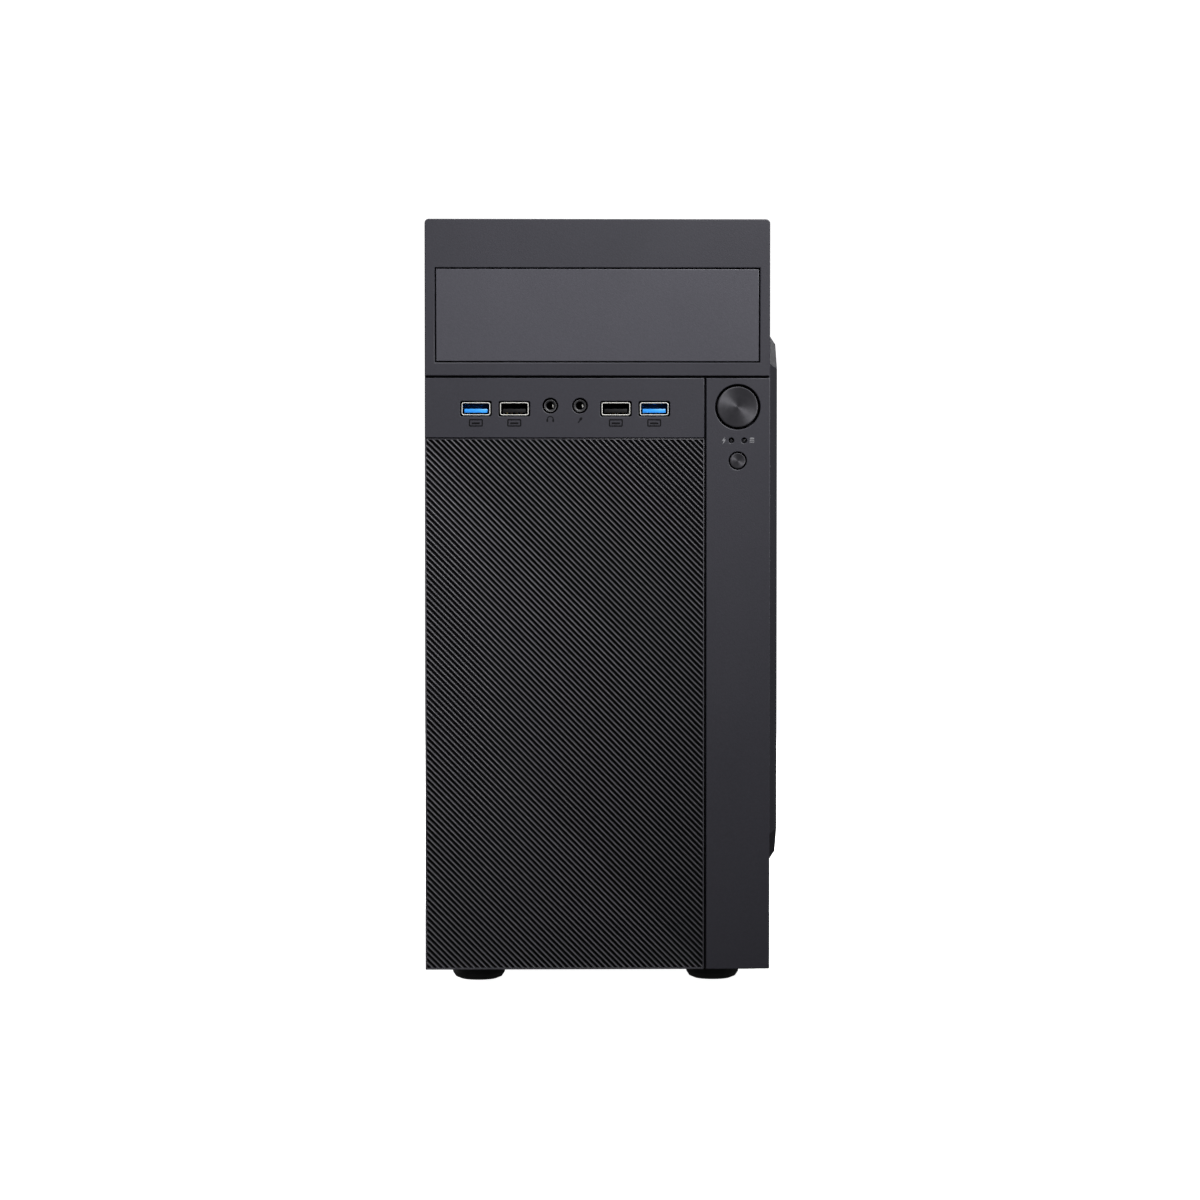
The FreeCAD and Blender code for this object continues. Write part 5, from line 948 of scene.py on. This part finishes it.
def make_rear_sockets():
    """The board's rear sockets: steel shells with coloured, drilled or tongued inserts."""
    shells, black, gold = bmesh.new(), bmesh.new(), bmesh.new()
    coloured = {name: bmesh.new()
                for name in ("violet", "green", "video_blue", "sky", "lime", "pink", "amber")}
    audio, network, usb, serial, video, keyboard = sockets = parts_of("rear_ports")
    for low, high in sockets:
        x, z = centre_of(low, high)
        width, height = high.x - low.x, high.z - low.z
        outer = rounded(x, z, width, height, 0.5 * MM)
        mouth = rounded(x, z, width - 1.6 * MM, height - 1.6 * MM, 0.4 * MM)
        plate(shells, [outer, mouth], high.y - 10 * MM, high.y, 0.25 * MM)
        plate(shells, [outer], low.y, high.y - 9.5 * MM, 0.3 * MM)

    def face_of(pair):
        """The centre, size and depth of a socket's inner face."""
        low, high = pair
        return *centre_of(low, high), high.x - low.x, high.z - low.z, high.y - 0.8 * MM

    x, z, width, height, y = face_of(keyboard)
    for colour, side in (("violet", -1), ("green", 1)):
        at = x + side * width / 4
        plate(coloured[colour], [rounded(at, z, width / 2 - 1.0 * MM, height - 1.8 * MM, 0.4 * MM),
                                 circle(at, z, 4.0 * MM, 48)], y - 7 * MM, y, 0.2 * MM)
        plate(black, [circle(at, z, 4.1 * MM, 48), rounded(at, z + 1.1 * MM, 1.6 * MM, 0.9 * MM, 0.1 * MM)]
              + [circle(at + 2.4 * MM * math.cos(turn), z + 2.4 * MM * math.sin(turn), 0.4 * MM, 16)
                 for turn in (-0.3, 0.7, 2.4, 3.4, 4.2, 5.2)], y - 6 * MM, y - 2.5 * MM, 0.1 * MM)
    for pair, target, rows, columns in ((video, "video_blue", 3, 5), (serial, None, 2, 5)):
        x, z, width, height, y = face_of(pair)
        outline = d_shape(x, z, width - 3.5 * MM, height - 3.2 * MM, 1.0 * MM)
        holes = [circle(x + (row - (rows - 1) / 2) * 2.4 * MM,
                        z + (column - 2) * 2.1 * MM + 0.5 * (row % 2) * MM, 0.42 * MM, 12)
                 for row in range(rows) for column in range(columns)]
        plate(coloured[target] if target else black, [outline] + (holes if target else []), y - 6 * MM,
              y + (0.2 if target else -3.0) * MM, 0.2 * MM)
        plate(shells, [d_shape(x, z, width - 2.4 * MM, height - 2.0 * MM, 1.0 * MM), outline], y - 5 * MM,
              y + 0.5 * MM, 0.1 * MM)
        if not target:
            for hole in holes:
                plate(gold, [hole], y - 4 * MM, y - 0.8 * MM, 0.1 * MM, resolution=1)
    for pair, spots in ((usb, (-0.25, 0.25)), (network, (-0.36, -0.1))):
        x, z, width, height, y = face_of(pair)
        for spot in spots:
            at = x + spot * width
            plate(black, [rounded(at + 0.6 * MM, z, 1.8 * MM, 10.4 * MM, 0.2 * MM)],
                  y - 9 * MM, y - 1.2 * MM, 0.2 * MM)
            for contact in range(4):
                up = (contact - 1.5) * 2.2 * MM
                plate(gold, [rounded(at - 0.35 * MM, z + up, 0.2 * MM, 1.0 * MM, 0.05 * MM)],
                      y - 8 * MM, y - 2.2 * MM, 0.04 * MM, resolution=1)
        divide = x + (spots[0] + spots[1]) / 2 * width
        plate(shells, [rounded(divide, z, 0.7 * MM, height - 1.2 * MM, 0.15 * MM)],
              y - 9 * MM, y + 0.3 * MM, 0.15 * MM)
    x, z, width, height, y = face_of(network)
    at = x + width * 0.24
    plate(black, [rounded(at, z, 12.6 * MM, height - 1.8 * MM, 0.3 * MM),
                  rounded(at + 0.8 * MM, z, 8.0 * MM, 11.6 * MM, 0.3 * MM)],
          y - 8 * MM, y + 0.1 * MM, 0.2 * MM)
    for contact in range(8):
        plate(gold, [rounded(at + 3.8 * MM, z + (contact - 3.5) * 1.1 * MM, 1.2 * MM, 0.45 * MM, 0.1 * MM)],
              y - 7 * MM, y - 1.5 * MM, 0.08 * MM, resolution=1)
    for colour, up in (("lime", 1), ("amber", -1)):
        plate(coloured[colour], [rounded(at - 5.0 * MM, z + up * 6.0 * MM, 1.6 * MM, 2.4 * MM, 0.3 * MM)],
              y - 2 * MM, y + 0.3 * MM, 0.2 * MM)
    x, z, width, height, y = face_of(audio)
    for colour, up in (("sky", 1), ("lime", 0), ("pink", -1)):
        at = z + up * 10.0 * MM
        plate(coloured[colour], [circle(x, at, 4.2 * MM, 48), circle(x, at, 1.8 * MM, 32)],
              y - 8 * MM, y + 0.6 * MM, 0.4 * MM)
    piece("rear_shells", shells, "plated_steel", replaced=["rear_ports"])
    piece("rear_insulators", black, "black_plastic")
    piece("rear_contacts", gold, "gold", "brass")
    for colour, mesh in coloured.items():
        piece("rear_" + colour, mesh, colour, "blue_plastic")


ROCKER_REST = math.radians(-9)               # half of the switch's travel


def make_rocker_marks():
    """The bar and the ring moulded into the mains switch's two faces."""
    low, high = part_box("rocker_frame")
    x, z = centre_of(low, high)
    pivot = Vector((x, high.y - 4.6 * MM, z))
    mesh = bmesh.new()
    for side, outlines in ((1, [rounded(0, 0, 0.6 * MM, 3.2 * MM, 0.25 * MM)]),
                           (-1, [circle(0, 0, 1.6 * MM, 32), circle(0, 0, 1.0 * MM, 32)])):
        mark = bmesh.new()
        plate(mark, outlines, -0.1 * MM, 0.08 * MM, 0.03 * MM, resolution=1)
        slope = math.atan2(2.2, 7.0) * side
        mark.transform(Matrix.Translation(pivot) @ Matrix.Rotation(ROCKER_REST, 4, "X")
                       @ Matrix.Translation((0, 4.95 * MM, side * 3.6 * MM))
                       @ Matrix.Rotation(slope, 4, "X"))
        absorb(mesh, mark)
    piece("rocker_marks", mesh, "white_ink", "black_plastic", "rocker_switch")


# ---- inside

def make_capacitors():
    """Electrolytic cans: a dark sleeve with a scored aluminium top."""
    sleeves, tops = bmesh.new(), bmesh.new()
    for low, high in parts_of("capacitors"):
        centre = Vector((high.x, (low.y + high.y) / 2, (low.z + high.z) / 2))
        turned(sleeves, mm((0.1, 0), (3.8, 0), (3.95, -0.6), (3.75, -1.1), (4.0, -1.6), (4.0, -11.6),
                           (3.6, -11.95), (0.1, -11.8)), centre, "X", 32)
        y, z = centre.y, centre.z
        plate(tops, [circle(y, z, 3.2 * MM, 32), cross(y, z, 2.4 * MM, 0.3 * MM)], low.x, low.x + 0.4 * MM,
              0.08 * MM, "X", 1)
    piece("can_sleeves", sleeves, "video_blue", "aluminium", replaced=["capacitors"])
    piece("can_tops", tops, "aluminium")


def make_memory_chips():
    """Eight chips on each face of the memory module."""
    low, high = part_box("memory_module")
    chips = bmesh.new()
    for index in range(8):
        z = low.z + (high.z - low.z) * (index + 0.5) / 8
        for y, side in ((low.y, -1), (high.y, 1)):
            inner, outer = sorted((y - side * 0.4 * MM, y))
            soft_brick(chips, (low.x + 6 * MM, inner, z - 5.2 * MM),
                       (low.x + 19 * MM, outer, z + 5.2 * MM), 0.15 * MM, 1)
    piece("memory_chips", chips, "black_plastic")


PASSIVES = 130


def scatter_components():
    """Chips and small passives over the free parts of the circuit board."""
    low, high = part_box("motherboard")
    face = low.x
    taken = [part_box(node) for node in ("heatsink", "chipset_heatsink")]
    for node in ("rear_ports", "board_screws", "memory_slots", "expansion_slots", "board_headers",
                 "capacitors"):
        taken += parts_of(node)
    chips, passives, pins = bmesh.new(), bmesh.new(), bmesh.new()

    def is_free(y, z, width, height, margin=1.0 * MM):
        for box_low, box_high in taken:
            if (y - width / 2 < box_high.y + margin and y + width / 2 > box_low.y - margin
                    and z - height / 2 < box_high.z + margin and z + height / 2 > box_low.z - margin):
                return False
        return low.y + 3 * MM < y - width / 2 and y + width / 2 < high.y - 16 * MM and \
            low.z + 3 * MM < z - height / 2 and z + height / 2 < high.z - 3 * MM

    def claim(y, z, width, height):
        taken.append((Vector((face, y - width / 2, z - height / 2)),
                      Vector((face, y + width / 2, z + height / 2))))

    for size, count in ((14, 3), (9, 6), (5, 14)):
        for _ in range(count * 12):
            y, z = random.uniform(low.y, high.y), random.uniform(low.z, high.z)
            width = size * MM
            height = size * random.choice((0.6, 1.0)) * MM
            if count and is_free(y, z, width + 2 * MM, height + 2 * MM):
                count -= 1
                claim(y, z, width + 2 * MM, height + 2 * MM)
                soft_brick(chips, (face - 1.3 * MM, y - width / 2, z - height / 2),
                           (face - 0.15 * MM, y + width / 2, z + height / 2), 0.12 * MM, 1)
                legs = int(width / (1.0 * MM))
                for leg in range(legs):
                    at = y + (leg - (legs - 1) / 2) * 1.0 * MM
                    brick(pins, (face - 0.45 * MM, at - 0.2 * MM, z - height / 2 - 0.8 * MM),
                          (face - 0.02 * MM, at + 0.2 * MM, z + height / 2 + 0.8 * MM))
    placed = 0
    while placed < PASSIVES:
        y, z = random.uniform(low.y, high.y), random.uniform(low.z, high.z)
        width, height = random.choice(((1.6, 0.8), (0.8, 1.6), (2.0, 1.2)))
        if is_free(y, z, width * MM, height * MM, 0.5 * MM):
            placed += 1
            claim(y, z, width * MM, height * MM)
            target = random.choice((passives, chips))
            soft_brick(target, (face - 0.6 * MM, y - width / 2 * MM, z - height / 2 * MM),
                       (face - 0.01 * MM, y + width / 2 * MM, z + height / 2 * MM), 0.08 * MM, 1)
    piece("board_chips", chips, "black_plastic")
    piece("board_passives", passives, "ivory_plastic")
    piece("chip_legs", pins, "plated_steel")


def make_disk_lid():
    """The disk's stamped lid, stepped round the platters, with its screws."""
    low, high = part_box("hard_disk")
    mesh = bmesh.new()
    inset = 3 * MM
    x, y = centre_of(low, high, "xy")
    outline = rounded(x, y, high.x - low.x - 2 * inset, high.y - low.y - 2 * inset, 8 * MM)
    holes = [(x + side * 44 * MM, y + up * 62 * MM) for side in (-1, 1) for up in (-1, 0, 1)]
    top = high.z - 0.6 * MM
    hub = low.y + 52 * MM
    plate(mesh, [outline, *(circle(u, v, 2.8 * MM, 32) for u, v in holes)], top - 0.9 * MM, top,
          0.25 * MM, "Z")
    plate(mesh, [circle(x, hub, 44 * MM, 96)], top - 0.1 * MM, high.z - 0.05 * MM, 0.25 * MM, "Z")
    plate(mesh, [circle(x, hub, 12 * MM, 64), circle(x, hub, 10 * MM, 64)],
          high.z - 0.1 * MM, high.z, 0.03 * MM, "Z", 1)
    for u, v in holes:
        plate(mesh, [circle(u, v, 2.3 * MM, 32), cross(u, v, 1.2 * MM, 0.5 * MM)],
              top - 0.9 * MM, top - 0.1 * MM, 0.15 * MM, "Z", 1)
    piece("disk_lid", mesh, "aluminium")


# ---- stage, lights, camera

CAMERA_FROM_FACE = 1.7307
CAMERA_ACROSS = -0.0392                      # from the middle of the face
CAMERA_HEIGHT = 0.2368
CAMERA_TILT = math.radians(1.90)
CAMERA_TURN = math.radians(-1.334)
LENS_MM = 113.1


def make_camera():
    data = bpy.data.cameras.new("camera")
    data.sensor_width = 36.0
    data.lens = LENS_MM
    data.clip_start = 0.05
    data.clip_end = 50.0
    camera = bpy.data.objects.new("camera", data)
    bpy.context.scene.collection.objects.link(camera)
    camera.location = (CASE_MIDDLE.x + CAMERA_ACROSS, FACE_Y - CAMERA_FROM_FACE, CAMERA_HEIGHT)
    camera.rotation_euler = (math.pi / 2 - CAMERA_TILT, 0, CAMERA_TURN)
    bpy.context.scene.camera = camera


def soft_light(name, place, target, width, height, power, spread=180):
    """A rectangular softbox that looks at target; spread narrows its beam, in degrees."""
    data = bpy.data.lights.new(name, "AREA")
    data.spread = math.radians(spread)
    data.shape = "RECTANGLE"
    data.size = width
    data.size_y = height
    data.energy = power
    light = bpy.data.objects.new(name, data)
    bpy.context.scene.collection.objects.link(light)
    light.location = place
    light.rotation_euler = (Vector(target) - Vector(place)).to_track_quat("-Z", "Y").to_euler()
    light.visible_camera = False


def make_lights():
    centre = CASE_MIDDLE
    soft_light("key", (0.50, -0.85, 0.88), (-0.02, -0.17, 0.34), 0.45, 0.30, 2.5, spread=55)
    soft_light("overhead", (0.05, -0.50, 0.86), (0.0, -0.17, 0.30), 0.60, 0.30, 1.2, spread=120)
    soft_light("left_strip", (-1.1, -0.75, 0.75), centre, 0.35, 1.1, 1.6)
    soft_light("right_strip", (1.25, -0.25, 0.75), centre, 0.25, 1.1, 2.0)
    soft_light("left_side", (-1.3, 0.75, 0.60), centre, 0.9, 0.9, 14.0)
    soft_light("rear", (0.35, 1.25, 0.75), centre, 1.1, 0.7, 24.0)
    soft_light("top", (0.0, 0.5, 1.45), centre, 0.9, 0.9, 2.5)


def white_glow(name, strength):
    material = bpy.data.materials.new(name)
    material.use_nodes = True
    surface = material.node_tree.nodes["Principled BSDF"]
    surface.inputs["Base Color"].default_value = (0.85, 0.85, 0.85, 1.0)
    surface.inputs["Roughness"].default_value = 0.85
    surface.inputs["Emission Color"].default_value = (1.0, 1.0, 1.0, 1.0)
    surface.inputs["Emission Strength"].default_value = strength
    return material


def make_stage():
    """A white floor that shows the tower's shadow, in a white studio."""
    world = bpy.data.worlds.new("studio")
    bpy.context.scene.world = world
    world.use_nodes = True
    world.node_tree.nodes["Background"].inputs["Color"].default_value = (1.0, 1.0, 1.0, 1.0)
    world.node_tree.nodes["Background"].inputs["Strength"].default_value = 0.07
    mesh = bmesh.new()
    bmesh.ops.create_circle(mesh, cap_ends=True, segments=96, radius=7.5)
    floor = link_mesh("studio_floor", mesh)
    floor.data.materials.append(white_glow("floor_white", 1.0))
    floor.visible_diffuse = False
    floor.visible_glossy = False
    mesh = bmesh.new()
    bmesh.ops.create_icosphere(mesh, subdivisions=4, radius=8.0)
    backdrop = link_mesh("studio_backdrop", mesh)
    backdrop.data.materials.append(white_glow("backdrop_white", 1.1))
    for seen_by in ("diffuse", "glossy", "transmission", "shadow"):
        setattr(backdrop, "visible_" + seen_by, False)


bpy.context.scene.view_settings.view_transform = "Standard"
make_camera()
make_lights()
make_stage()
dress_cad_nodes()
make_skins()
make_bay_cover()
make_ribs()
make_button("power_button", POWER, POWER_CAP, POWER_STEM, 34)
make_button("reset_button", RESET, RESET_CAP, RESET_STEM, 14)
make_light_pipes()
make_usb_sockets()
make_jacks()
make_marks()
for fan, axis in (("rear_fan", "Y"), ("cpu_fan", "X"), ("psu_fan", "Z")):
    make_rotor(fan, axis)
make_screws()
make_thumbscrews("thumbscrews_left", "left_panel")
make_thumbscrews("thumbscrews_right", "right_panel")
make_rear_sockets()
make_rocker_marks()
make_capacitors()
make_memory_chips()
scatter_components()
make_disk_lid()
